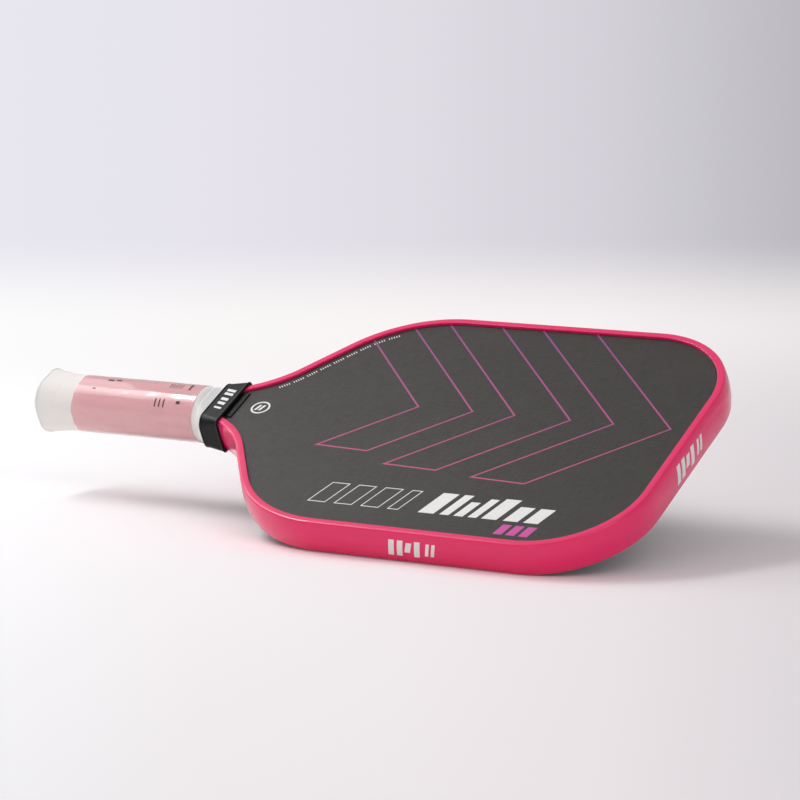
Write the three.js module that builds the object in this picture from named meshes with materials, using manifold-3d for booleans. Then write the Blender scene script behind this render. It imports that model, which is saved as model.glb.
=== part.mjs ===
// Pickleball paddle: a honeycomb-cored carbon panel whose tongue runs down the handle,
// a channel-shaped edge guard, a two-shell handle with a butt cap, and a wrapped grip
// finished with tape, a rubber collar and a thin film sleeve.
//
// Millimetres. The origin is the middle of the whole paddle: X runs along the handle axis
// from the butt (-X) to the tip (+X), Y runs across the face, and Z is square to the front face.

import * as THREE from 'three';
import { mergeVertices } from 'three/addons/utils/BufferGeometryUtils.js';
import Module from 'manifold-3d';

const wasm = await Module();
wasm.setup();

// ---- Driving dimensions -----------------------------------------------------------------

// Whole paddle
const overallLength = 408;
const tipWidth = 202.2;            // across the edge guard, where the sides would meet the tip
const shoulderWidth = 199.6;       // across the edge guard, where the sides meet the shoulders
const panelThickness = 16;

// Outline of the panel
const tongueWidth = 20;            // the part of the panel inside the handle
const handleLength = 112.2;        // from the butt end to where the panel starts to widen
const neckAngle = THREE.MathUtils.degToRad(27);
const neckBendWidth = 49.7;        // panel width where the neck turns into the shoulders
const shoulderAngle = THREE.MathUtils.degToRad(56);
const neckRootRadius = 8;
const neckBendRadius = 61;
const shoulderRadius = 73;
const tipCornerRadius = 56;

// Layers of the panel
const faceSheetThickness = 0.5;
const scrimThickness = 0.2;
const cellAcrossFlats = 17.2;      // clear width of one honeycomb cell
const cellWall = 0.8;
const coreRim = 1.6;               // solid border between the cut cells and the panel's edge
const leastCellShow = 2;           // how far inside the border a cell's centre has to lie

// Edge guard
const guardWall = 2.25;            // from the panel's edge to the outermost point of the guard
const guardChannelGap = 0.3;       // between the panel's edge and the floor of the channel
const guardLipReach = 3.2;         // how far each lip reaches in over the face
const guardLipThickness = 1.65;
const guardBulge = 1.25;           // how far the outer wall swells out at mid height
const guardLipBevel = 0.45;
const guardTopStep = 0.15;         // the outer wall's start outside the lip's top edge
const guardWallShares = [0.6, 0.25]; // heights of the bulged wall's points, as shares of the lip's top
const guardEndGap = 1.6;           // along the handle axis, from the grip to the guard's two ends

// Handle
const handleWidth = 28.2;          // bare handle, under the grip
const handleThickness = 26.3;
const handleBevel = 8.2;           // leg of the eight-sided section's corner bevels
const handleCornerRadius = 2;
const noseThickness = 0.8;         // of the thin ends of the handle shells on the faces
const noseOverhang = 3.8;          // how far they show past the collar
const noseInset = 1.5;             // of the noses from the tongue's sides, under the collar
const noseFlare = 3.5;             // gained on each side towards the noses' ends

// Butt cap and badge
const buttPlate = 3.2;
const buttSkirtLength = 14;
const buttRootWall = 1.7;          // of the cap's skirt at the butt, under the grip
const buttMouthWall = 0.5;
const buttFlangeThickness = 1.2;
const buttFlangeProud = 0.1;       // of the flange beyond the grip's outer wall
const badgeRadius = 11;
const badgeThickness = 0.55;
const badgeRecess = 0.6;
const badgeClearance = 0.25;

// Grip, tape, collar and sleeve
const gripThickness = 1.55;
const gripSkivedThickness = 0.35;  // where the grip thins out under the collar
const gripCornerRadius = 4;
const gripFlareLength = 24;        // of the wider butt end
const gripTaperLength = 7.6;       // from full section down to the collar
const gripEndFlare = 2.7;          // gained on each side of the bare handle where the grip ends
const gripEndBevel = 4;            // of the flat oval that the grip narrows to there
const gripTuck = 3.5;              // how far the grip runs in under the collar
const tapeThickness = 0.25;
const tapeShow = 4.5;              // width of tape that shows on the butt side of the collar
const collarSetback = 1.2;         // from where the panel starts to widen to the collar
const collarLength = 13.2;
const collarWall = 0.9;
const collarButtRoom = 2;          // on each side, between the tape and the collar
const collarGuardGap = 0.25;       // on each side, between the guard and the collar
const collarButtRadius = 7;        // outer corner radius, tighter where it stretches over the guard
const collarTipRadius = 3;
const sleeveThickness = 0.15;
const sleeveGapToTaper = 0.4;

const fitGap = 0.2;                // between pieces wrapped over one another
const tapeSlopeGap = 0.3;          // between the grip's tapered end and the tape
const collarFaceGap = 0.1;         // between the collar and the highest piece under it
const cutterOverrun = 1;           // how far a cutting body runs past what it cuts

// Spans of each arc of the panel's edge, of the sections' round corners and of the round badge
const rootSteps = 2;
const edgeSteps = [5, 9, 13];      // neck bend, shoulder and tip corner
const handleCornerSteps = 2;
const collarCornerSteps = 5;
const badgeSides = 40;

// ---- Positions and sizes that follow ----------------------------------------------------

const buttX = -overallLength / 2;
const tipX = overallLength / 2;
const fromButt = (distance) => buttX + distance;
const panelHalf = panelThickness / 2;
const lipTop = panelHalf + guardLipThickness;
const noseTop = panelHalf + noseThickness;
const gripTop = noseTop + fitGap + gripSkivedThickness;
const tapeTop = gripTop + tapeSlopeGap + tapeThickness;
const collarInnerTop = Math.max(tapeTop, lipTop) + collarFaceGap;
const collarDistance = handleLength + collarSetback;
const collarEnd = collarDistance + collarLength;
const taperStart = collarDistance - gripTaperLength;
const coreThickness = panelThickness - 2 * (faceSheetThickness + scrimThickness);
const gripEndHalf = handleWidth / 2 + gripEndFlare;
const gripHalfWidth = handleWidth / 2 + fitGap + gripThickness;
const gripHalfHeight = handleThickness / 2 + fitGap + gripThickness;
const noseHalf = tongueWidth / 2 - noseInset;
const tongueStart = fromButt(buttPlate + fitGap);

// ---- Plane outlines ---------------------------------------------------------------------

const point = (x, y) => new THREE.Vector2(x, y);
const leftOf = (direction) => point(-direction.y, direction.x);

/** Where two lines cross, each given by a point on it and its direction. */
function crossing(first, second) {
  const between = second.at.clone().sub(first.at);
  const share = between.cross(second.along) / first.along.cross(second.along);
  return first.at.clone().addScaledVector(first.along, share);
}

/** An open chain of points moved to its left by a distance, each side staying parallel. */
function shiftLeft(points, distance) {
  const sides = points.slice(1).map((end, i) => {
    const along = end.clone().sub(points[i]).normalize();
    return { at: points[i].clone().addScaledVector(leftOf(along), distance), along };
  });
  const last = points.at(-1).clone().addScaledVector(leftOf(sides.at(-1).along), distance);
  const corners = sides.slice(1).map((side, i) => crossing(sides[i], side));
  return [sides[0].at, ...corners, last];
}

/** An open chain with each inner corner turned into an arc of its own radius. */
function roundChain(points, radii, steps) {
  const rounded = [points[0]];
  for (let i = 1; i < points.length - 1; i += 1) {
    const into = points[i].clone().sub(points[i - 1]).normalize();
    const out = points[i + 1].clone().sub(points[i]).normalize();
    const turn = Math.atan2(into.cross(out), into.dot(out));
    const radius = radii[i - 1];
    const start = points[i].clone().addScaledVector(into, -radius * Math.tan(Math.abs(turn) / 2));
    const centre = start.clone().addScaledVector(leftOf(into), Math.sign(turn) * radius);
    for (let k = 0; k <= steps[i - 1]; k += 1) {
      rounded.push(start.clone().rotateAround(centre, (turn * k) / steps[i - 1]));
    }
  }
  rounded.push(points.at(-1));
  return rounded;
}

/** A closed section through its corners, anticlockwise, from the middle of its last side. */
function roundSection(corners, radius, steps) {
  const middle = corners[0].clone().lerp(corners.at(-1), 0.5);
  const chain = [middle, ...corners, middle];
  return roundChain(chain, corners.map(() => radius), corners.map(() => steps)).slice(0, -1);
}

/** Eight-sided handle section: half sizes across and through, and the leg of its bevels. */
function handleSection(halfWidth, halfHeight, bevel, radius) {
  const inWidth = halfWidth - bevel;
  const inHeight = halfHeight - bevel;
  const corners = [
    point(halfWidth, inHeight), point(inWidth, halfHeight),
    point(-inWidth, halfHeight), point(-halfWidth, inHeight),
    point(-halfWidth, -inHeight), point(-inWidth, -halfHeight),
    point(inWidth, -halfHeight), point(halfWidth, -inHeight),
  ];
  return roundSection(corners, radius, handleCornerSteps);
}

/** Four-sided section with large round corners, for the collar. */
function collarSection(halfWidth, halfHeight, radius) {
  const corners = [
    point(halfWidth, halfHeight), point(-halfWidth, halfHeight),
    point(-halfWidth, -halfHeight), point(halfWidth, -halfHeight),
  ];
  return roundSection(corners, radius, collarCornerSteps);
}

/** Corners of the +Y half of the panel's edge, from the handle to the middle of the tip. */
function panelCorners() {
  const tongueHalf = tongueWidth / 2;
  const bendHalf = neckBendWidth / 2;
  const shoulderHalf = shoulderWidth / 2 - guardWall;
  const neck = point(fromButt(handleLength), tongueHalf);
  const bend = point(neck.x + (bendHalf - tongueHalf) / Math.tan(neckAngle), bendHalf);
  const shoulder = point(bend.x + (shoulderHalf - bendHalf) / Math.tan(shoulderAngle), shoulderHalf);
  const panelTip = tipX - guardWall;
  return { neck, bend, shoulder, corner: point(panelTip, tipWidth / 2 - guardWall), tip: point(panelTip, 0) };
}

/** A rounded chain moved outwards: hollow corners tighten and full corners open. */
function outwardChain(corners, hollowRadii, fullRadii, steps, outward) {
  const radii = [...hollowRadii.map((r) => r - outward), ...fullRadii.map((r) => r + outward)];
  return roundChain(shiftLeft(corners, outward), radii, steps);
}

/** The +Y half chain followed by its mirror image, without repeating the tip point. */
function mirrorChain(half) {
  const back = half.slice(0, -1).reverse().map((p) => point(p.x, -p.y));
  return [...half, ...back];
}

/** The whole panel edge moved outwards by a distance, starting at a place on the handle. */
function panelOutline(outward, startX) {
  const { neck, bend, shoulder, corner, tip } = panelCorners();
  const corners = [point(startX, neck.y), neck, bend, shoulder, corner, tip];
  const half = outwardChain(
    corners, [neckRootRadius, neckBendRadius], [shoulderRadius, tipCornerRadius],
    [rootSteps, ...edgeSteps], outward,
  );
  return mirrorChain(half);
}

/** The edge guard's path at a distance out from the panel's edge, with its two open ends. */
function guardPath(outward) {
  const { neck, bend, shoulder, corner, tip } = panelCorners();
  const run = collarSetback + gripTuck + guardEndGap;
  const start = point(neck.x + run, neck.y + run * Math.tan(neckAngle));
  const half = outwardChain(
    [start, bend, shoulder, corner, tip], [neckBendRadius], [shoulderRadius, tipCornerRadius],
    edgeSteps, outward,
  );
  return mirrorChain(half);
}

// ---- Solids -----------------------------------------------------------------------------

/** Geometry from a list of rings and the triangles that join their points. */
function ringGeometry(rings, triangles) {
  const geometry = new THREE.BufferGeometry().setFromPoints(rings.flat());
  geometry.setIndex(triangles);
  return geometry;
}

/** Triangles of the walls between two rings of a body, given by their first point numbers. */
function wallTriangles(from, to, count) {
  const triangles = [];
  for (let j = 0; j < count; j += 1) {
    const next = (j + 1) % count;
    triangles.push(from + j, from + next, to + next, from + j, to + next, to + j);
  }
  return triangles;
}

/** Solid through rings of equal count, closed at both ends by the given plane section. */
function loftSolid(rings, section) {
  const count = section.length;
  const last = (rings.length - 1) * count;
  const walls = rings.slice(1).flatMap((_, i) => wallTriangles(i * count, (i + 1) * count, count));
  const caps = THREE.ShapeUtils.triangulateShape(section, []).flatMap(([a, b, c]) => (
    [c, b, a, last + a, last + b, last + c]
  ));
  return ringGeometry(rings, [...walls, ...caps]);
}

/** Tube whose outer and inner walls run through rings of equal count. */
function loftTube(outer, inner) {
  const rings = [...outer, ...inner.slice().reverse()];
  const count = rings[0].length;
  const walls = rings.flatMap((_, i) => (
    wallTriangles(i * count, ((i + 1) % rings.length) * count, count)
  ));
  return ringGeometry(rings, walls);
}

/** A section across the handle axis, placed at a distance from the butt end. */
const acrossHandle = (distance, section) => (
  section.map((p) => new THREE.Vector3(fromButt(distance), p.x, p.y))
);

/** A flat plate of an outline, between two heights. */
function plate(outline, low, high) {
  const depth = high - low;
  const geometry = new THREE.ExtrudeGeometry(new THREE.Shape(outline), { depth, bevelEnabled: false });
  return geometry.translate(0, 0, low);
}

/** Manifold solid of a closed geometry. */
function toSolid(geometry) {
  const bare = geometry.clone();
  bare.deleteAttribute('normal');
  bare.deleteAttribute('uv');
  const merged = mergeVertices(bare, 1e-5);
  return new wasm.Manifold(new wasm.Mesh({
    numProp: 3,
    vertProperties: new Float32Array(merged.attributes.position.array),
    triVerts: new Uint32Array(merged.index.array),
  }));
}

/** Geometry of a manifold solid. */
function fromSolid(solid) {
  const mesh = solid.getMesh();
  const geometry = new THREE.BufferGeometry();
  geometry.setAttribute('position', new THREE.BufferAttribute(mesh.vertProperties, 3));
  geometry.setIndex(new THREE.BufferAttribute(mesh.triVerts, 1));
  return geometry;
}

/** The first geometry with the others cut away. */
function cut(geometry, ...tools) {
  return fromSolid(tools.reduce((solid, tool) => solid.subtract(toSolid(tool)), toSolid(geometry)));
}

// ---- Panel ------------------------------------------------------------------------------

/** Whether a point lies inside a closed outline, by counting the sides crossed to its right. */
function isInside(outline, p) {
  const crossed = outline.filter((a, i) => {
    const b = outline[(i + 1) % outline.length];
    return (a.y > p.y) !== (b.y > p.y) && p.x < a.x + ((p.y - a.y) * (b.x - a.x)) / (b.y - a.y);
  });
  return crossed.length % 2 === 1;
}

/** Corners of one six-sided cell, with two of its flats square to the X axis. */
function cellOutline(centre) {
  const reach = cellAcrossFlats / Math.sqrt(3);
  return Array.from({ length: 6 }, (_, k) => {
    const angle = (k + 0.5) * (Math.PI / 3);
    return point(centre.x + reach * Math.cos(angle), centre.y + reach * Math.sin(angle));
  });
}

/** Every cell of the honeycomb whose centre lies well inside the core's solid border. */
function honeycombCells() {
  const limit = panelOutline(-coreRim - leastCellShow, tongueStart + coreRim + leastCellShow);
  const pitch = cellAcrossFlats + cellWall;
  const rowStep = (pitch * Math.sqrt(3)) / 2;
  const rows = Math.ceil(tipWidth / 2 / rowStep);
  const columns = Math.ceil(overallLength / 2 / pitch);
  const cells = [];
  for (let row = -rows; row <= rows; row += 1) {
    const stagger = row % 2 === 0 ? 0 : pitch / 2;
    for (let column = -columns; column <= columns; column += 1) {
      const centre = point(column * pitch + stagger, row * rowStep);
      if (isInside(limit, centre)) {
        cells.push(cellOutline(centre));
      }
    }
  }
  return cells;
}

/** A sheet of honeycomb cut to the panel's outline, its edge cells cut off by the border. */
function honeycombCore() {
  const half = coreThickness / 2;
  const shapes = honeycombCells().map((cell) => new THREE.Shape(cell));
  const depth = 2 * coreThickness;
  const cells = new THREE.ExtrudeGeometry(shapes, { depth, bevelEnabled: false });
  const inside = plate(panelOutline(-coreRim, tongueStart + coreRim), -coreThickness, coreThickness);
  const hollows = toSolid(cells.translate(0, 0, -depth / 2)).intersect(toSolid(inside));
  const sheet = toSolid(plate(panelOutline(0, tongueStart), -half, half));
  return fromSolid(sheet.subtract(hollows));
}

/** A layer of the front side, or its mirror image on the rear side. */
function panelLayer(side, bottom, thickness) {
  const [low, high] = side > 0 ? [bottom, bottom + thickness] : [-bottom - thickness, -bottom];
  return plate(panelOutline(0, tongueStart), low, high);
}

const scrim = (side) => panelLayer(side, coreThickness / 2, scrimThickness);
const faceSheet = (side) => panelLayer(side, panelHalf - faceSheetThickness, faceSheetThickness);

// ---- Edge guard -------------------------------------------------------------------------

/** Upper half of the guard's section, from the channel floor to the outer wall's middle. */
function guardUpperSection() {
  const wallTop = guardWall - guardBulge;
  const crown = (height) => guardWall - guardBulge * (height / lipTop) ** 2;
  return [
    point(guardChannelGap, panelHalf),
    point(-guardLipReach, panelHalf),
    point(-guardLipReach, lipTop - guardLipBevel),
    point(-guardLipReach + guardLipBevel, lipTop),
    point(wallTop - guardLipBevel, lipTop),
    point(wallTop + guardTopStep, lipTop - guardLipBevel),
    ...guardWallShares.map((share) => point(crown(share * lipTop), share * lipTop)),
  ];
}

/** Half the guard's outer width on the straight stretch of the neck, at a distance from the butt. */
function guardHalfWidth(distance) {
  const panelEdge = tongueWidth / 2 + (distance - handleLength) * Math.tan(neckAngle);
  return panelEdge + guardWall / Math.cos(neckAngle);
}

function edgeGuard() {
  const upper = guardUpperSection();
  const lower = upper.slice().reverse().map((p) => point(p.x, -p.y));
  const section = [...upper, ...lower].reverse();
  const paths = section.map((p) => guardPath(p.x));
  const rings = paths[0].map((_, i) => (
    section.map((p, j) => new THREE.Vector3(paths[j][i].x, paths[j][i].y, p.y))
  ));
  return loftSolid(rings, section);
}

// ---- Handle shells ----------------------------------------------------------------------

/** The whole bare handle: full section, then a taper to thin noses lying on the two faces. */
function bareHandle() {
  const full = [handleWidth / 2, handleThickness / 2, handleBevel, handleCornerRadius];
  const noseBevel = noseThickness / 2;
  const nose = (halfWidth) => [halfWidth, noseTop, noseBevel, noseBevel];
  const stations = [
    [buttPlate + fitGap, full],
    [taperStart, full],
    [collarDistance, nose(noseHalf)],
    [collarDistance + gripTuck, nose(noseHalf)],
    [collarEnd + noseOverhang, nose(noseHalf + noseFlare)],
  ];
  const rings = stations.map(([distance, sizes]) => acrossHandle(distance, handleSection(...sizes)));
  return loftSolid(rings, handleSection(...full));
}

/** One moulded shell of the handle, hollowed for the tongue and split at mid thickness. */
function handleShell(side) {
  const tongue = plate(panelOutline(fitGap, tongueStart - cutterOverrun), -panelHalf, panelHalf);
  const otherHalf = new THREE.BoxGeometry(overallLength, overallLength, overallLength);
  otherHalf.translate(0, 0, -side * (overallLength / 2));
  const splitGap = new THREE.BoxGeometry(overallLength, overallLength, fitGap);
  return cut(bareHandle(), tongue, otherHalf, splitGap);
}

// ---- Butt cap and badge -----------------------------------------------------------------

/** Half sizes of the cap's skirt at its butt end and at its mouth. */
function skirtSizes() {
  const mouthGrow = fitGap + buttMouthWall;
  const buttGrow = fitGap + buttRootWall;
  const grown = (amount) => [handleWidth / 2 + amount, handleThickness / 2 + amount];
  return { mouth: grown(mouthGrow), butt: grown(buttGrow) };
}

function disc(radius, thickness) {
  const geometry = new THREE.CylinderGeometry(radius, radius, thickness, badgeSides);
  return geometry.rotateZ(Math.PI / 2).translate(fromButt(thickness / 2), 0, 0);
}

function buttCap() {
  const { mouth, butt } = skirtSizes();
  const flangeSizes = butt.map((half) => half + gripThickness + buttFlangeProud);
  const flange = handleSection(...flangeSizes, handleBevel, gripCornerRadius);
  const body = [
    acrossHandle(0, flange),
    acrossHandle(buttFlangeThickness, flange),
    acrossHandle(buttFlangeThickness, handleSection(...butt, handleBevel, gripCornerRadius)),
    acrossHandle(buttPlate + buttSkirtLength, handleSection(...mouth, handleBevel, gripCornerRadius)),
  ];
  const pocketSection = handleSection(
    handleWidth / 2 + fitGap, handleThickness / 2 + fitGap, handleBevel, handleCornerRadius,
  );
  const pocketEnd = buttPlate + buttSkirtLength + cutterOverrun;
  const pocket = [buttPlate, pocketEnd].map((distance) => acrossHandle(distance, pocketSection));
  const recess = disc(badgeRadius + badgeClearance, 2 * badgeRecess).translate(-badgeRecess, 0, 0);
  return cut(loftSolid(body, flange), loftSolid(pocket, pocketSection), recess);
}

const buttBadge = () => disc(badgeRadius, badgeThickness);

// ---- Grip, tape, collar and sleeve ------------------------------------------------------

/** Section of what is wrapped round the handle, its corners never rounder than its bevels. */
const gripSection = (halfWidth, halfHeight, bevel = handleBevel) => (
  handleSection(halfWidth, halfHeight, bevel, Math.min(gripCornerRadius, bevel))
);

function cushionGrip() {
  const { mouth, butt } = skirtSizes();
  const start = buttFlangeThickness + fitGap;
  const skirtEnd = buttPlate + buttSkirtLength;
  const end = collarDistance + gripTuck;
  const over = ([w, h], amount) => [w + amount, h + amount];
  const bare = [handleWidth / 2, handleThickness / 2];
  const wall = gripThickness + fitGap;
  const outer = [
    [start, gripSection(...over(butt, gripThickness))],
    [skirtEnd, gripSection(...over(mouth, gripThickness))],
    [gripFlareLength, gripSection(...over(bare, wall))],
    [taperStart, gripSection(...over(bare, wall))],
    [collarDistance, gripSection(gripEndHalf, gripTop, gripEndBevel)],
    [end, gripSection(gripEndHalf, gripTop, gripEndBevel)],
  ];
  const innerEnd = [gripEndHalf - gripSkivedThickness, gripTop - gripSkivedThickness, gripEndBevel];
  const inner = [
    [start, gripSection(...over(butt, fitGap))],
    [skirtEnd, gripSection(...over(mouth, fitGap))],
    [gripFlareLength, gripSection(...over(bare, fitGap))],
    [taperStart, gripSection(...over(bare, fitGap))],
    [collarDistance, gripSection(...innerEnd)],
    [end, gripSection(...innerEnd)],
  ];
  const place = (stations) => stations.map(([distance, section]) => acrossHandle(distance, section));
  return loftTube(place(outer), place(inner));
}

/** Grip's outer half sizes and bevel at a distance along the taper under the tape. */
function taperSizes(distance) {
  const share = Math.min(1, (distance - taperStart) / gripTaperLength);
  const mix = (from, to) => THREE.MathUtils.lerp(from, to, share);
  return [mix(gripHalfWidth, gripEndHalf), mix(gripHalfHeight, gripTop), mix(handleBevel, gripEndBevel)];
}

function finishingTape() {
  const distances = [collarDistance - tapeShow, collarDistance, collarDistance + gripTuck];
  const ring = (distance, grow) => {
    const [halfWidth, halfHeight, bevel] = taperSizes(distance);
    return acrossHandle(distance, gripSection(halfWidth + grow, halfHeight + grow, bevel));
  };
  return loftTube(
    distances.map((d) => ring(d, tapeSlopeGap + tapeThickness)),
    distances.map((d) => ring(d, tapeSlopeGap)),
  );
}

function rubberCollar() {
  const tapeHalf = gripEndHalf + tapeSlopeGap + tapeThickness;
  const ends = [
    [collarDistance, tapeHalf + collarButtRoom, collarButtRadius],
    [collarEnd, guardHalfWidth(collarEnd) + collarGuardGap, collarTipRadius],
  ];
  const ring = ([distance, halfWidth, radius], wall) => {
    const inward = collarWall - wall;
    return acrossHandle(distance, collarSection(halfWidth + wall, collarInnerTop + wall, radius - inward));
  };
  return loftTube(ends.map((end) => ring(end, collarWall)), ends.map((end) => ring(end, 0)));
}

function filmSleeve() {
  const ends = [gripFlareLength, taperStart - sleeveGapToTaper];
  const ring = (distance, grow) => acrossHandle(
    distance, gripSection(gripHalfWidth + grow, gripHalfHeight + grow),
  );
  return loftTube(ends.map((d) => ring(d, fitGap + sleeveThickness)), ends.map((d) => ring(d, fitGap)));
}

// ---- Assembly ---------------------------------------------------------------------------

const finish = (color, roughness, metalness = 0) => ({ color, roughness, metalness });
const finishes = {
  polypropylene: finish(0xd9d6cc, 0.6),
  nonwoven: finish(0xe8e6e0, 0.9),
  carbon: finish(0x3a3937, 0.75),
  guardPink: finish(0xd9265c, 0.4),
  blackFoam: finish(0x151515, 0.8),
  whiteGrip: finish(0xe6e2dc, 0.7),
  whitePlastic: finish(0xe4e1dc, 0.45),
  blackRubber: finish(0x1b1a1a, 0.6),
  pinkFilm: finish(0xe3b3ba, 0.2),
};

const pieces = [
  ['honeycomb_core', honeycombCore(), finishes.polypropylene],
  ['front_scrim', scrim(1), finishes.nonwoven],
  ['rear_scrim', scrim(-1), finishes.nonwoven],
  ['front_face_sheet', faceSheet(1), finishes.carbon],
  ['rear_face_sheet', faceSheet(-1), finishes.carbon],
  ['edge_guard', edgeGuard(), finishes.guardPink],
  ['front_handle_shell', handleShell(1), finishes.blackFoam],
  ['rear_handle_shell', handleShell(-1), finishes.blackFoam],
  ['butt_cap', buttCap(), finishes.whitePlastic],
  ['butt_badge', buttBadge(), finishes.whitePlastic],
  ['cushion_grip', cushionGrip(), finishes.whiteGrip],
  ['finishing_tape', finishingTape(), finishes.whiteGrip],
  ['rubber_collar', rubberCollar(), finishes.blackRubber],
  ['film_sleeve', filmSleeve(), finishes.pinkFilm],
];

const paddle = new THREE.Group();
for (const [name, geometry, look] of pieces) {
  const mesh = new THREE.Mesh(geometry, new THREE.MeshStandardMaterial(look));
  mesh.name = name;
  paddle.add(mesh);
}

export default paddle;
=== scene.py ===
"""Looks of a pickleball paddle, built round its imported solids.

The paddle is drawn in its own frame, in metres: X runs along the handle axis towards the tip,
Y across the face and Z out of the front face, with the origin in the middle of the paddle.
Each sub-assembly is a class that builds its surfaces as numpy grids and dresses them.
"""

from __future__ import annotations

import logging
import math
from dataclasses import dataclass, field
from enum import Enum

import bpy
import numpy as np
from mathutils import Matrix, Vector


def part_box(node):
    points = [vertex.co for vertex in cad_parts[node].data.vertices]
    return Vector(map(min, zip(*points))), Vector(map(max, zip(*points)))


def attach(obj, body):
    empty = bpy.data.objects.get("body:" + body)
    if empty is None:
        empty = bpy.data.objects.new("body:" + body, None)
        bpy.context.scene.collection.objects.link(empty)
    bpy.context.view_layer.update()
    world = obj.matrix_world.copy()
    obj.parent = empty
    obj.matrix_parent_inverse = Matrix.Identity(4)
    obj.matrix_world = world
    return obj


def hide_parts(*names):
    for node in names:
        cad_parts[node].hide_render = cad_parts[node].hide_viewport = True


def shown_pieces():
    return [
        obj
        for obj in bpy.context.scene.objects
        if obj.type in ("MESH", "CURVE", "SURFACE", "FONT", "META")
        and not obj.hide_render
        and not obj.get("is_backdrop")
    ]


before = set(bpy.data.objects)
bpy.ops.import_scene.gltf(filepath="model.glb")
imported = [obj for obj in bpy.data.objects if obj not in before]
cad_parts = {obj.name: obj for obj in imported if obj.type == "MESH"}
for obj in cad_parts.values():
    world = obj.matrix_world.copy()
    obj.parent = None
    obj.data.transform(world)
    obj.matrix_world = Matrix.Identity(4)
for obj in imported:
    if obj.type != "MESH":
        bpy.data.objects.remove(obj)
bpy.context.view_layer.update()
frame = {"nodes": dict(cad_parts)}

LOG = logging.getLogger("paddle")
BODY = "root"
MM = 0.001
BUTT_X = float(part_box("butt_cap")[0][0])
TIP_X = float(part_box("edge_guard")[1][0])
CORNER_SPANS = 8
Colour = tuple[float, float, float, float]


def x_at(from_butt: np.ndarray | float) -> np.ndarray | float:
    """X of a place given by its distance from the butt end."""
    return BUTT_X + from_butt


# ---- Meshes from grids -------------------------------------------------------------------


def srgb(red: float, green: float, blue: float) -> Colour:
    """Linear colour of a display colour given in parts of 255.

    Args:
        red: red part, 0 to 255.
        green: green part, 0 to 255.
        blue: blue part, 0 to 255.

    Returns:
        Linear red, green and blue with an alpha of 1.
    """
    parts = np.array([red, green, blue]) / 255.0
    low = parts / 12.92
    high = ((parts + 0.055) / 1.055) ** 2.4
    linear = np.where(parts <= 0.04045, low, high)
    return (float(linear[0]), float(linear[1]), float(linear[2]), 1.0)


def grid_faces(rows: int, columns: int, round_rows: bool, round_columns: bool) -> np.ndarray:
    """Four-sided faces of a grid, whose last row or column may join its first.

    Args:
        rows: number of rows of points.
        columns: number of points in a row.
        round_rows: whether the last row joins the first.
        round_columns: whether the last point of a row joins its first.

    Returns:
        Point numbers of each face, one face a line.
    """
    row = np.arange(rows if round_rows else rows - 1)
    column = np.arange(columns if round_columns else columns - 1)
    r, c = np.meshgrid(row, column, indexing="ij")
    r_next = (r + 1) % rows
    c_next = (c + 1) % columns
    corners = [r * columns + c, r * columns + c_next, r_next * columns + c_next, r_next * columns + c]
    return np.stack(corners, axis=-1).reshape(-1, 4)


def make_piece(name: str, points: np.ndarray, faces: list[np.ndarray],
               smooth: bool = True) -> bpy.types.Object:
    """A mesh object at the origin from points in metres and arrays of faces.

    Args:
        name: the piece's name.
        points: one point a line.
        faces: arrays of point numbers, one array for each number of corners.
        smooth: whether its faces are shaded smooth.

    Returns:
        The new object, linked to the scene.
    """
    mesh = bpy.data.meshes.new(name)
    listed = [face for block in faces for face in np.asarray(block).tolist()]
    mesh.from_pydata(np.asarray(points).reshape(-1, 3).tolist(), [], listed)
    mesh.polygons.foreach_set("use_smooth", np.full(len(mesh.polygons), smooth))
    mesh.update()
    piece = bpy.data.objects.new(name, mesh)
    bpy.context.scene.collection.objects.link(piece)
    return piece


def face_outwards(piece: bpy.types.Object) -> None:
    """Turns a closed mesh inside out if its volume comes out negative.

    Args:
        piece: a closed mesh object.
    """
    mesh = piece.data
    mesh.calc_loop_triangles()
    points = np.empty(len(mesh.vertices) * 3)
    mesh.vertices.foreach_get("co", points)
    corners = np.empty(len(mesh.loop_triangles) * 3, dtype=np.int32)
    mesh.loop_triangles.foreach_get("vertices", corners)
    a, b, c = points.reshape(-1, 3)[corners.reshape(-1, 3)].transpose(1, 0, 2)
    if np.einsum("ij,ij->", a, np.cross(b, c)) < 0:
        mesh.flip_normals()


def lofted_tube(name: str, rings: np.ndarray, sharp_from: float) -> bpy.types.Object:
    """A closed ring-shaped wall: rows run round the wall's thickness and columns round the axis.

    Args:
        name: the piece's name.
        rings: points as rows by columns by 3; the last row joins the first.
        sharp_from: angle in degrees from which an edge is shaded sharp.

    Returns:
        The new object.
    """
    rows, columns = rings.shape[:2]
    piece = make_piece(name, rings, [grid_faces(rows, columns, True, True)])
    face_outwards(piece)
    piece.data.set_sharp_from_angle(angle=math.radians(sharp_from))
    return piece


def lofted_solid(name: str, rings: np.ndarray, sharp_from: float) -> bpy.types.Object:
    """A solid through rings of points, closed by one face at each end.

    Args:
        name: the piece's name.
        rings: points as rows by columns by 3.
        sharp_from: angle in degrees from which an edge is shaded sharp.

    Returns:
        The new object.
    """
    rows, columns = rings.shape[:2]
    walls = grid_faces(rows, columns, False, True)
    first = np.arange(columns)[::-1][None, :]
    last = ((rows - 1) * columns + np.arange(columns))[None, :]
    piece = make_piece(name, rings, [walls, first, last])
    face_outwards(piece)
    piece.data.set_sharp_from_angle(angle=math.radians(sharp_from))
    return piece


# ---- Outlines and sections ---------------------------------------------------------------


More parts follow.
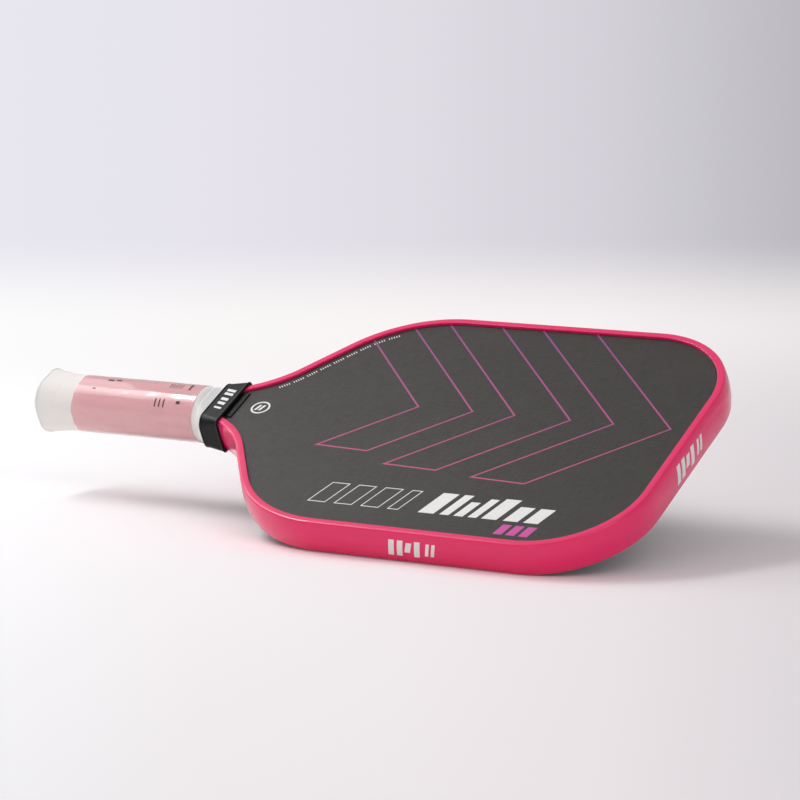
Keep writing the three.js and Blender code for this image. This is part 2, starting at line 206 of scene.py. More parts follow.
def rounded_chain(points: np.ndarray, radii: np.ndarray, steps: list[int]) -> np.ndarray:
    """An open chain with each inner corner turned into an arc that touches both its sides.

    An arc starts its radius times the tangent of half the turn before the corner, and its
    points are the start turned round the arc's centre by equal shares of the turn.

    Args:
        points: corners as n by 2.
        radii: radius at each inner corner.
        steps: number of spans of each arc.

    Returns:
        The chain's points as m by 2.
    """
    parts = [points[:1]]
    for i in range(1, len(points) - 1):
        into = (points[i] - points[i - 1]) / np.linalg.norm(points[i] - points[i - 1])
        out = (points[i + 1] - points[i]) / np.linalg.norm(points[i + 1] - points[i])
        turn = math.atan2(into[0] * out[1] - into[1] * out[0], float(into @ out))
        radius = float(radii[i - 1])
        start = points[i] - into * radius * math.tan(abs(turn) / 2)
        centre = start + np.array([-into[1], into[0]]) * math.copysign(radius, turn)
        angle = turn * np.linspace(0, 1, steps[i - 1] + 1)
        arm = start - centre
        square = np.array([-arm[1], arm[0]])
        parts.append(centre + np.outer(np.cos(angle), arm) + np.outer(np.sin(angle), square))
    parts.append(points[-1:])
    return np.concatenate(parts)


def shifted_left(points: np.ndarray, distance: float) -> np.ndarray:
    """An open chain moved to its left, each side staying parallel to itself.

    Args:
        points: corners as n by 2.
        distance: how far, in metres.

    Returns:
        The moved corners.
    """
    along = np.diff(points, axis=0)
    along /= np.linalg.norm(along, axis=1)[:, None]
    left = np.stack([-along[:, 1], along[:, 0]], axis=1) * distance
    starts = points[:-1] + left
    gap = starts[1:] - starts[:-1]
    cross = along[:-1, 0] * along[1:, 1] - along[:-1, 1] * along[1:, 0]
    share = (gap[:, 0] * along[1:, 1] - gap[:, 1] * along[1:, 0]) / cross
    corners = starts[:-1] + along[:-1] * share[:, None]
    return np.concatenate([starts[:1], corners, points[-1:] + left[-1:]])


def section_ring(half_width: float, half_height: float, bevel: float, radius: float) -> np.ndarray:
    """Eight-sided section with round corners, anticlockwise from the middle of its +Y side.

    Args:
        half_width: half its size along Y.
        half_height: half its size along Z.
        bevel: leg of its corner bevels.
        radius: radius of its eight corners.

    Returns:
        Points as n by 2, each Y and Z.
    """
    w, h, b = half_width, half_height, bevel
    quarter = np.array([[w, h - b], [w - b, h]])
    corners = np.concatenate([quarter, quarter[::-1] * [-1, 1], -quarter, quarter[::-1] * [1, -1]])
    middle = np.array([[w, 0.0]])
    chain = np.concatenate([middle, corners, middle])
    return rounded_chain(chain, np.full(8, radius), [CORNER_SPANS] * 8)[:-1]


@dataclass
class PanelOutline:
    """The panel's edge seen from the front, as sides and corner radii.

    The +Y half runs from the handle to the middle of the tip; the other half is its mirror image.
    The guard starts its run past the neck.
    """

    tongue_half: float = 10.0 * MM
    neck_from_butt: float = 112.2 * MM
    neck_angle: float = math.radians(27)
    bend_half: float = 24.85 * MM
    shoulder_angle: float = math.radians(56)
    shoulder_drop: float = 1.3 * MM
    bend_radius: float = 61 * MM
    shoulder_radius: float = 73 * MM
    corner_radius: float = 56 * MM
    arc_spans: tuple[int, int, int] = (5, 9, 13)
    guard_wall: float = 2.25 * MM
    guard_run: float = 6.3 * MM
    full_half_width: float = 101.1 * MM

    def corners(self) -> np.ndarray:
        """Corners of the +Y half of the panel's edge, from the guard's start on the neck's straight side.

        Returns:
            Corners as 5 by 2, the last in the middle of the tip.
        """
        neck_x = x_at(self.neck_from_butt)
        start_x = neck_x + self.guard_run
        bend_x = neck_x + (self.bend_half - self.tongue_half) / math.tan(self.neck_angle)
        side_tip = self.full_half_width - self.guard_wall
        side_start = side_tip - self.shoulder_drop
        shoulder_x = bend_x + (side_start - self.bend_half) / math.tan(self.shoulder_angle)
        panel_tip = TIP_X - self.guard_wall
        start_y = self.tongue_half + (start_x - neck_x) * math.tan(self.neck_angle)
        return np.array([
            [start_x, start_y], [bend_x, self.bend_half], [shoulder_x, side_start],
            [panel_tip, side_tip], [panel_tip, 0.0],
        ])

    def path(self, outward: float, fineness: int = 1) -> np.ndarray:
        """The edge moved outwards, from the guard's start on the +Y side round the tip to the -Y side.

        Hollow corners tighten by the distance and full corners open by it, so the path stays
        at the same distance all along.

        Args:
            outward: distance out from the panel's edge, negative for inwards.
            fineness: multiplies the number of points on each arc.

        Returns:
            Points as n by 2.
        """
        moved = shifted_left(self.corners(), outward)
        radii = [self.bend_radius - outward, self.shoulder_radius + outward, self.corner_radius + outward]
        half = rounded_chain(moved, np.array(radii), [spans * fineness for spans in self.arc_spans])
        return np.concatenate([half, half[-2::-1] * [1, -1]])


# ---- Shader building ---------------------------------------------------------------------


class Shader:
    """A material's or a group's node tree with short ways to add and join nodes."""

    def __init__(self, tree: bpy.types.NodeTree) -> None:
        """Keeps the tree.

        Args:
            tree: the node tree to add to.
        """
        self.tree = tree

    def add(self, kind: str, **settings: object) -> bpy.types.Node:
        """Adds a node and sets the attributes given by name.

        Args:
            kind: the node's type name without its ShaderNode part.
            **settings: attributes to set.

        Returns:
            The node.
        """
        node = self.tree.nodes.new("ShaderNode" + kind)
        for key, value in settings.items():
            setattr(node, key, value)
        return node

    def join(self, source: bpy.types.NodeSocket, target: bpy.types.NodeSocket) -> None:
        """Links two sockets."""
        self.tree.links.new(source, target)

    def feed(self, socket: bpy.types.NodeSocket, value: object) -> None:
        """Links an input to another node, or sets its value.

        Args:
            socket: the input.
            value: a node's output socket, or a number, vector or colour.
        """
        if isinstance(value, bpy.types.NodeSocket):
            self.join(value, socket)
        else:
            socket.default_value = value

    def math(self, operation: str, first: object, second: object = 0.0) -> bpy.types.NodeSocket:
        """Adds a Math node whose inputs are sockets or numbers.

        Args:
            operation: the node's operation.
            first: socket or number.
            second: socket or number.

        Returns:
            The node's output socket.
        """
        node = self.add("Math", operation=operation)
        self.feed(node.inputs[0], first)
        self.feed(node.inputs[1], second)
        return node.outputs[0]

    def mix(self, factor: object, first: object, second: object) -> bpy.types.NodeSocket:
        """Adds a colour Mix node whose inputs are sockets or values.

        Args:
            factor: socket or number.
            first: socket or colour.
            second: socket or colour.

        Returns:
            The colour output socket.
        """
        node = self.add("Mix", data_type="RGBA")
        for index, value in ((0, factor), (6, first), (7, second)):
            self.feed(node.inputs[index], value)
        return node.outputs[2]

    def ramp(self, factor: bpy.types.NodeSocket, low: float, high: float,
             to_low: float = 0.0, to_high: float = 1.0) -> bpy.types.NodeSocket:
        """Adds a Map Range node that clamps.

        Args:
            factor: socket to map.
            low: value that maps to to_low.
            high: value that maps to to_high.
            to_low: lowest output.
            to_high: highest output.

        Returns:
            The output socket.
        """
        node = self.add("MapRange")
        for i, value in enumerate((low, high, to_low, to_high)):
            node.inputs[i + 1].default_value = value
        self.join(factor, node.inputs[0])
        return node.outputs[0]

    def noise(self, vector: bpy.types.NodeSocket, scale: object, detail: float = 2.0,
              roughness: float = 0.5) -> bpy.types.NodeSocket:
        """Adds a Noise Texture.

        Args:
            vector: coordinates that it reads.
            scale: socket or number of cells in a metre.
            detail: how many finer layers it has.
            roughness: how strong the finer layers are.

        Returns:
            Its value from 0 to 1.
        """
        node = self.add("TexNoise")
        self.feed(node.inputs["Scale"], scale)
        node.inputs["Detail"].default_value = detail
        node.inputs["Roughness"].default_value = roughness
        self.join(vector, node.inputs["Vector"])
        return node.outputs[0]

    def stretch(self, vector: bpy.types.NodeSocket,
                scale: tuple[float, float, float]) -> bpy.types.NodeSocket:
        """Adds a Mapping node that draws a pattern out.

        Args:
            vector: coordinates that it reads.
            scale: factor of each coordinate, below 1 to draw the pattern out along it.

        Returns:
            The stretched coordinates.
        """
        node = self.add("Mapping")
        node.inputs["Scale"].default_value = scale
        self.join(vector, node.inputs["Vector"])
        return node.outputs[0]

    def dot(self, vector: bpy.types.NodeSocket, direction: Vector) -> bpy.types.NodeSocket:
        """Adds a dot product of a vector with a fixed direction.

        Args:
            vector: socket of the vector.
            direction: the direction.

        Returns:
            The product's socket.
        """
        node = self.add("VectorMath", operation="DOT_PRODUCT")
        self.join(vector, node.inputs[0])
        node.inputs[1].default_value = direction
        return node.outputs["Value"]


# ---- Shared effects ----------------------------------------------------------------------


class Effects:
    """Node groups that several materials share, each built once."""

    _built: dict[str, bpy.types.NodeTree] = {}

    @classmethod
    def _start(cls, name: str, inputs: dict[str, str],
               outputs: list[str]) -> tuple[Shader, bpy.types.Node, bpy.types.Node]:
        """A new shader node group with named sockets.

        Args:
            name: the group's name.
            inputs: socket types by name.
            outputs: names of its float outputs.

        Returns:
            A Shader on the group, its input node and its output node.
        """
        tree = bpy.data.node_groups.new(name, "ShaderNodeTree")
        for socket, kind in inputs.items():
            tree.interface.new_socket(socket, in_out="INPUT", socket_type="NodeSocket" + kind)
        for socket in outputs:
            tree.interface.new_socket(socket, in_out="OUTPUT", socket_type="NodeSocketFloat")
        cls._built[name] = tree
        return Shader(tree), tree.nodes.new("NodeGroupInput"), tree.nodes.new("NodeGroupOutput")

    @classmethod
    def grain(cls) -> bpy.types.NodeTree:
        """Fine moulded grain over slow tone changes; Scale is grains in a metre.

        Returns:
            The group.
        """
        name = "surface grain"
        if name not in cls._built:
            inputs = {"Coordinates": "Vector", "Scale": "Float"}
            shader, entry, leave = cls._start(name, inputs, ["Tone", "Height"])
            fine = shader.noise(entry.outputs[0], entry.outputs[1], 3.0, 0.6)
            slow = shader.noise(entry.outputs[0], 14.0)
            tone = shader.math("ADD", shader.math("MULTIPLY", slow, 0.6), shader.math("MULTIPLY", fine, 0.4))
            shader.join(tone, leave.inputs[0])
            shader.join(fine, leave.inputs[1])
        return cls._built[name]

    @classmethod
    def weave(cls) -> bpy.types.NodeTree:
        """Threads that run both ways: noise drawn out along X, noise drawn out along Y, and their crossings.

        Pitch is the threads in a metre. The crossings are the product of a sine wave along X and
        one along Y.

        Returns:
            The group.
        """
        name = "woven threads"
        if name not in cls._built:
            inputs = {"Coordinates": "Vector", "Pitch": "Float"}
            shader, entry, leave = cls._start(name, inputs, ["Tone", "Height"])
            place, pitch = entry.outputs[0], entry.outputs[1]
            along_x, along_y = (shader.noise(shader.stretch(place, scale), pitch, 1.5, 0.6)
                                for scale in ((0.06, 1.0, 1.0), (1.0, 0.06, 1.0)))
            parts = shader.add("SeparateXYZ")
            shader.join(place, parts.inputs[0])
            waves = []
            for axis in (0, 1):
                turns = shader.math("MULTIPLY", parts.outputs[axis], pitch)
                waves.append(shader.math("SINE", shader.math("MULTIPLY", turns, math.pi)))
            crossing = shader.math("MULTIPLY", waves[0], waves[1])
            both = shader.math("MULTIPLY", shader.math("ADD", along_x, along_y), 0.5)
            shader.join(both, leave.inputs[0])
            shader.join(shader.math("ADD", both, shader.math("MULTIPLY", crossing, 0.25)), leave.inputs[1])
        return cls._built[name]

    @classmethod
    def dust(cls) -> bpy.types.NodeTree:
        """Sparse specks and a faint film of dust, from 0 for clean to 1; Amount is the share of it.

        Returns:
            The group.
        """
        name = "light dust"
        if name not in cls._built:
            shader, entry, leave = cls._start(name, {"Coordinates": "Vector", "Amount": "Float"}, ["Mask"])
            specks = shader.ramp(shader.noise(entry.outputs[0], 1800.0), 0.68, 0.74)
            film = shader.ramp(shader.noise(entry.outputs[0], 35.0, 4.0), 0.45, 0.75, 0.0, 0.35)
            mask = shader.math("MULTIPLY", shader.math("MAXIMUM", specks, film), entry.outputs[1])
            shader.join(mask, leave.inputs[0])
        return cls._built[name]


class Surface(Shader):
    """A material with a Principled shader, object coordinates and the shared effects."""

    def __init__(self, name: str) -> None:
        """Starts the material.

        Args:
            name: the material's name.
        """
        self.material = bpy.data.materials.new(name)
        self.material.use_nodes = True
        super().__init__(self.material.node_tree)
        self.shader = self.tree.nodes["Principled BSDF"]
        self.coordinates = self.add("TexCoord").outputs["Object"]

    def effect(self, group: bpy.types.NodeTree, **values: float) -> bpy.types.Node:
        """Places a shared effect that reads the object coordinates.

        Args:
            group: the node group.
            **values: values of its other inputs by name.

        Returns:
            The group node.
        """
        node = self.add("Group", node_tree=group)
        self.join(self.coordinates, node.inputs["Coordinates"])
        for name, value in values.items():
            node.inputs[name].default_value = value
        return node

    def set(self, socket: str, value: object) -> None:
        """Gives one of the shader's sockets a value or a link."""
        self.feed(self.shader.inputs[socket], value)

    def by_tone(self, grain: bpy.types.Node, low: float, high: float) -> bpy.types.NodeSocket:
        """A value that follows a grain's tone from low to high."""
        return self.ramp(grain.outputs["Tone"], 0.3, 0.7, low, high)

    def dusted(self, base: bpy.types.NodeSocket, dust: bpy.types.Node, share: float,
               colour: Colour) -> bpy.types.NodeSocket:
        """A colour under dust of another colour, which hides at most the given share of it."""
        return self.mix(self.math("MULTIPLY", dust.outputs["Mask"], share), base, colour)

    def bump(self, height: bpy.types.NodeSocket, depth: float, before: bpy.types.NodeSocket | None = None,
             strength: float = 1.0) -> bpy.types.NodeSocket:
        """Adds a Bump node, after another bump if one is given.

        Args:
            height: socket of the height, from 0 to 1.
            depth: metres that 1 stands for.
            before: normal of an earlier bump.
            strength: share of the effect.

        Returns:
            The normal.
        """
        node = self.add("Bump")
        node.inputs["Distance"].default_value = depth
        node.inputs["Strength"].default_value = strength
        self.join(height, node.inputs["Height"])
        if before is not None:
            self.join(before, node.inputs["Normal"])
        return node.outputs[0]

    def axis(self, index: int) -> bpy.types.NodeSocket:
        """One of the object coordinates.

        Args:
            index: 0 for X, 1 for Y, 2 for Z.

        Returns:
            The coordinate's socket.
        """
        parts = self.add("SeparateXYZ")
        self.join(self.coordinates, parts.inputs[0])
        return parts.outputs[index]


def shade(colour: Colour, factor: float) -> Colour:
    """A colour made darker or lighter by a factor."""
    return tuple(min(1.0, part * factor) for part in colour[:3]) + (1.0,)


@dataclass(frozen=True)
class MouldedFinish:
    """Plastic, rubber or foam with a moulded grain, some dust and slow tone changes."""

    name: str
    colour: Colour
    roughness: float = 0.4
    grain_scale: float = 2500.0
    grain_depth: float = 0.02 * MM
    tone_change: float = 0.08
    dust: float = 0.15
    specular: float = 0.5
    coat: float = 0.0
    coat_roughness: float = 0.1
    glow_depth: float = 0.0

    def material(self) -> bpy.types.Material:
        """Builds the material.

        Returns:
            The material.
        """
        surface = Surface(self.name)
        grain = surface.effect(Effects.grain(), Scale=self.grain_scale)
        dust = surface.effect(Effects.dust(), Amount=self.dust)
        dark, light = shade(self.colour, 1 - self.tone_change), shade(self.colour, 1 + self.tone_change)
        pale = tuple(0.5 * part + 0.3 for part in self.colour[:3]) + (1.0,)
        tone = surface.mix(grain.outputs["Tone"], dark, light)
        surface.set("Base Color", surface.dusted(tone, dust, 0.4, pale))
        rough = surface.by_tone(grain, self.roughness - 0.05, self.roughness + 0.05)
        dusty = surface.math("MULTIPLY", dust.outputs["Mask"], 0.25)
        surface.set("Roughness", surface.math("ADD", rough, dusty))
        surface.set("Normal", surface.bump(grain.outputs["Height"], self.grain_depth))
        surface.set("Specular IOR Level", self.specular)
        if self.coat:
            surface.set("Coat Weight", self.coat)
            surface.set("Coat Roughness", self.coat_roughness)
        if self.glow_depth:
            surface.set("Subsurface Weight", 0.25)
            surface.set("Subsurface Scale", self.glow_depth)
            surface.set("Subsurface Radius", (1.0, 0.4, 0.5))
        return surface.material


@dataclass(frozen=True)
class CarbonFinish:
    """Raw carbon face: matt dark cloth with a peel-ply texture and threads both ways."""

    name: str = "raw carbon cloth"
    colour: Colour = srgb(47, 44, 39)
    dust_colour: Colour = srgb(150, 146, 140)
    thread_pitch: float = 1500.0
    thread_depth: float = 0.04 * MM
    thread_shades: tuple[float, float] = (0.82, 1.2)
    grain_scale: float = 3200.0
    grain_depth: float = 0.03 * MM
    speckle_share: float = 0.45
    speckle_shade: float = 0.55
    roughness: float = 0.52
    specular: float = 0.42

    def material(self) -> bpy.types.Material:
        """Builds the material.

        Returns:
            The material.
        """
        surface = Surface(self.name)
        weave = surface.effect(Effects.weave(), Pitch=self.thread_pitch)
        grain = surface.effect(Effects.grain(), Scale=self.grain_scale)
        dust = surface.effect(Effects.dust(), Amount=0.2)
        threads = surface.ramp(weave.outputs["Tone"], 0.35, 0.65)
        cloth = surface.mix(threads, *(shade(self.colour, factor) for factor in self.thread_shades))
        speckle = surface.ramp(grain.outputs["Height"], 0.35, 0.7, 0.0, self.speckle_share)
        speckled = surface.mix(speckle, cloth, shade(self.colour, self.speckle_shade))
        surface.set("Base Color", surface.dusted(speckled, dust, 0.25, self.dust_colour))
        rough = surface.ramp(threads, 0.0, 1.0, self.roughness + 0.08, self.roughness - 0.06)
        surface.set("Roughness", rough)
        first = surface.bump(weave.outputs["Height"], self.thread_depth)
        surface.set("Normal", surface.bump(grain.outputs["Height"], self.grain_depth, first))
        surface.set("Specular IOR Level", self.specular)
        return surface.material


@dataclass(frozen=True)
class PrintFinish:
    """Screen-printed ink whose colour runs from one side of the paddle to the other."""

    name: str
    near: Colour
    far: Colour
    reach: float = 95 * MM
    worn_colour: Colour = srgb(70, 62, 62)
    worn_share: float = 0.12
    grain_scale: float = 1800.0
    grain_depth: float = 0.015 * MM
    roughness: tuple[float, float] = (0.42, 0.55)

    def material(self) -> bpy.types.Material:
        """Builds the material.

        Returns:
            The material.
        """
        surface = Surface(self.name)
        grain = surface.effect(Effects.grain(), Scale=self.grain_scale)
        across = surface.ramp(surface.axis(1), -self.reach, self.reach)
        ink = surface.mix(across, self.near, self.far)
        thin = surface.ramp(grain.outputs["Height"], 0.3, 0.75, 0.0, self.worn_share)
        surface.set("Base Color", surface.mix(thin, ink, self.worn_colour))
        surface.set("Roughness", surface.by_tone(grain, *self.roughness))
        surface.set("Normal", surface.bump(grain.outputs["Height"], self.grain_depth))
        return surface.material


@dataclass(frozen=True)
class GripFinish:
    """White cushion wrap: soft polyurethane skin with a fine leather-like grain and tiny pores."""

    name: str
    colour: Colour = srgb(236, 232, 227)
    roughness: float = 0.68
    dust_colour: Colour = srgb(205, 200, 194)
    grain_scale: float = 1500.0
    grain_depth: float = 0.04 * MM
    crease_scale: float = 1100.0
    crease_depth: float = 0.05 * MM
    glow_depth: float = 1.0 * MM

    def material(self) -> bpy.types.Material:
        """Builds the material.

        Returns:
            The material.
        """
        surface = Surface(self.name)
        grain = surface.effect(Effects.grain(), Scale=self.grain_scale)
        dust = surface.effect(Effects.dust(), Amount=0.12)
        cells = surface.add("TexVoronoi", feature="DISTANCE_TO_EDGE")
        cells.inputs["Scale"].default_value = self.crease_scale
        surface.join(surface.coordinates, cells.inputs["Vector"])
        creases = surface.ramp(cells.outputs["Distance"], 0.0, 0.12)
        tone = surface.mix(grain.outputs["Tone"], shade(self.colour, 0.95), shade(self.colour, 1.03))
        surface.set("Base Color", surface.dusted(tone, dust, 0.2, self.dust_colour))
        surface.set("Roughness", surface.by_tone(grain, self.roughness, self.roughness + 0.12))
        first = surface.bump(creases, self.crease_depth, strength=0.6)
        surface.set("Normal", surface.bump(grain.outputs["Height"], self.grain_depth, first))
        surface.set("Subsurface Weight", 0.15)
        surface.set("Subsurface Scale", self.glow_depth)
        return surface.material


@dataclass(frozen=True)
class FilmFinish:
    """Thin pink shrink film: see-through, glossy and faintly rippled."""

    name: str = "pink film"
    colour: Colour = srgb(248, 186, 190)
    cover: float = 0.52
    roughness: float = 0.07
    grain_scale: float = 900.0
    ripple_scale: float = 130.0
    ripple_depth: float = 0.12 * MM

    def material(self) -> bpy.types.Material:
        """Builds the material.

        Returns:
            The material.
        """
        surface = Surface(self.name)
        grain = surface.effect(Effects.grain(), Scale=self.grain_scale)
        ripples = surface.noise(surface.stretch(surface.coordinates, (0.35, 1.0, 1.0)), self.ripple_scale)
        tone = surface.mix(grain.outputs["Tone"], shade(self.colour, 0.97), shade(self.colour, 1.03))
        surface.set("Base Color", tone)
        surface.set("Alpha", surface.ramp(ripples, 0.3, 0.7, self.cover - 0.04, self.cover + 0.04))
        surface.set("Roughness", surface.by_tone(grain, self.roughness, self.roughness + 0.06))
        surface.set("Normal", surface.bump(ripples, self.ripple_depth, strength=0.5))
        surface.set("Specular IOR Level", 0.6)
        surface.set("Coat Weight", 1.0)
        surface.set("Coat Roughness", 0.05)
        surface.set("Coat IOR", 1.7)
        return surface.material


class Finish(Enum):
    """The paddle's finishes, each with the record slot that it belongs to."""

    CARBON = ("carbon_face", CarbonFinish())
    CORE = ("core", MouldedFinish("honeycomb plastic", srgb(222, 218, 206), 0.55, 900.0))
    SCRIM = ("scrim", MouldedFinish("bonding scrim", srgb(232, 230, 224), 0.85, 1400.0, 0.08 * MM))
    GUARD = ("guard", MouldedFinish("guard plastic", srgb(231, 20, 98), 0.36, 2600.0, 0.012 * MM, 0.04,
                                    0.04, 0.25, 0.7, 0.05, 1.0 * MM))
    SHELL = ("handle_shell", MouldedFinish("black handle plastic", srgb(14, 14, 14), 0.45, 2200.0, 0.03 * MM,
                                           0.1, 0.05, 0.25))
    CAP = ("cap", MouldedFinish("white cap plastic", srgb(233, 230, 225), 0.42, 2400.0, 0.02 * MM, 0.03))
    GRIP = ("grip", GripFinish("white cushion wrap"))
    TAPE = ("tape", GripFinish("white finishing tape", srgb(250, 247, 243), 0.72))
    COLLAR = ("collar", MouldedFinish("black rubber", srgb(10, 9, 9), 0.36, 3000.0, 0.02 * MM,
                                      0.15, 0.06, 0.22))
    FILM = ("film", FilmFinish())
    WHITE_INK = ("carbon_face", PrintFinish("white ink", srgb(238, 237, 234), srgb(236, 236, 238)))
    PINK_INK = ("carbon_face", PrintFinish("pink ink", srgb(206, 82, 118), srgb(142, 60, 134)))
    MAGENTA_INK = ("carbon_face", PrintFinish("magenta ink", srgb(205, 72, 160), srgb(205, 72, 160)))
    FILM_INK = ("film", PrintFinish("black ink", srgb(60, 42, 46), srgb(60, 42, 46)))

    def material(self) -> bpy.types.Material:
        """The finish's material, built the first time it is asked for."""
        found = bpy.data.materials.get(self.value[1].name)
        return found if found is not None else self.value[1].material()


def dress(piece: bpy.types.Object, finish: Finish) -> None:
    """Gives a piece or a carried-over node one finish.

    Args:
        piece: the mesh object.
        finish: its finish.
    """
    piece.data.materials.clear()
    piece.data.materials.append(finish.material())


def install(piece: bpy.types.Object, finish: Finish, *nodes: str) -> bpy.types.Object:
    """Puts a finished new piece on the paddle's body, in place of the nodes it stands for.

    Args:
        piece: the new object.
        finish: its finish.
        *nodes: nodes that it replaces.

    Returns:
        The piece.
    """
    dress(piece, finish)
    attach(piece, BODY)
    if nodes:
        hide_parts(*nodes)
    LOG.info("%s: %d faces", piece.name, len(piece.data.polygons))
    return piece


# ---- Surface helpers ---------------------------------------------------------------------


def even_ring(points: np.ndarray, count: int) -> np.ndarray:
    """A closed outline as points at equal steps of its length, from its first point.

    Args:
        points: outline as n by 2, without its first point repeated.
        count: number of points wanted.

    Returns:
        Points as count by 2.
    """
    closed = np.concatenate([points, points[:1]])
    length = np.concatenate([[0.0], np.cumsum(np.linalg.norm(np.diff(closed, axis=0), axis=1))])
    wanted = np.linspace(0.0, length[-1], count, endpoint=False)
    return np.stack([np.interp(wanted, length, closed[:, k]) for k in (0, 1)], axis=1)


def ring_normals(rings: np.ndarray) -> np.ndarray:
    """Outward unit directions in the section's plane, for anticlockwise rings of Y and Z.

    Args:
        rings: rows by columns by 2.

    Returns:
        Directions of the same shape.
    """
    along = np.roll(rings, -1, axis=1) - np.roll(rings, 1, axis=1)
    along /= np.linalg.norm(along, axis=2, keepdims=True)
    return np.stack([along[..., 1], -along[..., 0]], axis=2)


def at_stations(x: np.ndarray, rings: np.ndarray) -> np.ndarray:
    """Rings of Y and Z given their X: x is one number a row, or one a point."""
    across = np.broadcast_to(x.reshape(len(rings), -1), rings.shape[:2])
    return np.concatenate([across[..., None], rings], axis=2)


def ease(share: np.ndarray) -> np.ndarray:
    """Smooth change from 0 to 1, level at both ends: three times the square less twice the cube."""
    held = np.clip(share, 0.0, 1.0)
    return held * held * (3 - 2 * held)


class Patches:
    """Many small closed shapes gathered into one mesh."""

    def __init__(self) -> None:
        """Starts empty."""
        self.points: list[np.ndarray] = []
        self.faces: list[np.ndarray] = []
        self.count = 0

    def add(self, points: np.ndarray, faces: list[np.ndarray]) -> None:
        """Adds one shape.

        Args:
            points: its points, any shape that ends in 3.
            faces: arrays of its own point numbers.
        """
        flat = points.reshape(-1, 3)
        self.points.append(flat)
        self.faces.extend(block + self.count for block in faces)
        self.count += len(flat)

    def slab(self, top: np.ndarray, bottom: np.ndarray) -> None:
        """Adds the closed body between two grids.

        Args:
            top: points as rows by columns by 3.
            bottom: points of the same shape.
        """
        rows, columns = top.shape[:2]
        number = np.arange(rows * columns).reshape(rows, columns)
        edge = np.concatenate([number[0], number[1:, -1], number[-1, -2::-1], number[-2:0:-1, 0]])
        after = np.roll(edge, -1)
        lower = rows * columns
        walls = np.stack([edge, after, after + lower, edge + lower], axis=1)
        upper = grid_faces(rows, columns, False, False)
        self.add(np.concatenate([top.reshape(-1, 3), bottom.reshape(-1, 3)]),
                 [upper, upper[:, ::-1] + lower, walls[:, ::-1]])

    def ribbon(self, line: np.ndarray, width: float, low: float, high: float, closed: bool) -> None:
        """Adds a line of even width and square corners on a flat face.

        Its two edges are the line moved half its width to each side, each side staying parallel.

        Args:
            line: points as n by 2.
            width: the line's width.
            low: Z of its underside.
            high: Z of its top.
            closed: whether its last point joins its first.
        """
        if closed:
            wrapped = np.concatenate([line[-1:], line, line[:2]])
            edges = [shifted_left(wrapped, side)[1:-2] for side in (width / 2, -width / 2)]
        else:
            edges = [shifted_left(line, side) for side in (width / 2, -width / 2)]
        rows = [(edges[0], high), (edges[1], high), (edges[1], low), (edges[0], low)]
        rings = np.stack([np.column_stack([edge, np.full(len(edge), z)]) for edge, z in rows])
        count = rings.shape[1]
        blocks = [grid_faces(4, count, True, closed)]
        if not closed:
            starts = np.arange(4) * count
            blocks += [starts[::-1][None, :], (starts + count - 1)[None, :]]
        self.add(rings, blocks)

    def plate(self, outline: np.ndarray, low: float, high: float) -> None:
        """Adds a flat plate between two heights.

        Args:
            outline: anticlockwise points as n by 2.
            low: Z of its underside.
            high: Z of its top.
        """
        count = len(outline)
        rings = np.stack([np.column_stack([outline, np.full(count, z)]) for z in (low, high)])
        self.add(rings, [grid_faces(2, count, False, True), np.arange(count)[::-1][None, :],
                         (np.arange(count) + count)[None, :]])

    def piece(self, name: str) -> bpy.types.Object:
        """The gathered shapes as one object with flat faces."""
        return make_piece(name, np.concatenate(self.points), self.faces, smooth=False)


def slanted(x: float, y: float, width: float, height: float, lean: float) -> np.ndarray:
    """Anticlockwise corners in metres of a slanted bar given in millimetres from its lower left corner."""
    return np.array([[x, y], [x + width, y], [x + width + lean, y + height], [x + lean, y + height]]) * MM


# ---- Handle sizes that several pieces share ----------------------------------------------


@dataclass
class HandleSizes:
    """Sections of the handle and what is wrapped round it, by distance from the butt end."""

    bare_half: tuple[float, float] = (14.1 * MM, 13.15 * MM)
    bevel: float = 8.2 * MM
    grip_wall: float = 1.75 * MM
    butt_growth: float = 1.7 * MM
    flare_length: float = 24 * MM
    flare_power: float = 1.6
    taper_start: float = 105.8 * MM
    collar_start: float = 113.4 * MM
    collar_end: float = 126.6 * MM
    grip_end: float = 116.9 * MM
    end_half: tuple[float, float] = (16.8 * MM, 9.35 * MM)
    end_bevel: float = 4 * MM
    corner_radius: float = 12 * MM
    corner_share: float = 1.5

    def grip_sizes(self, from_butt: np.ndarray) -> tuple[np.ndarray, np.ndarray, np.ndarray]:
        """Half width, half height and bevel of the grip's outer wall.

        The wall is level over the handle and flares out towards the butt by the growth times the
        remaining share of the flare to a power. It eases into a flat oval at the collar by the
        mean of a straight and a smooth change.

        Args:
            from_butt: distances from the butt end.

        Returns:
            Three arrays of the same shape.
        """
        flare = self.butt_growth * np.clip(1 - from_butt / self.flare_length, 0, 1) ** self.flare_power
        share = np.clip((from_butt - self.taper_start) / (self.collar_start - self.taper_start), 0, 1)
        share = 0.5 * share + 0.5 * ease(share)
        sizes = [half + self.grip_wall + flare for half in self.bare_half]
        ends = (*self.end_half, self.end_bevel)
        starts = (*sizes, np.full_like(flare, self.bevel))
        return tuple(start + (end - start) * share for start, end in zip(starts, ends))

    def rings(self, from_butt: np.ndarray, growth: float, count: int) -> np.ndarray:
        """Even rings of the grip's outer wall grown outwards.

        Args:
            from_butt: distances from the butt end.
            growth: how far out, in metres.
            count: number of points in a ring.

        Returns:
            Points as rows by count by 2, each Y and Z.
        """
        widths, heights, bevels = self.grip_sizes(from_butt)
        radii = np.minimum(self.corner_radius, self.corner_share * bevels)
        return np.stack([
            even_ring(section_ring(width + growth, height + growth, bevel, radius), count)
            for width, height, bevel, radius in zip(widths, heights, bevels, radii)
        ])


# ---- Sub-assemblies ----------------------------------------------------------------------


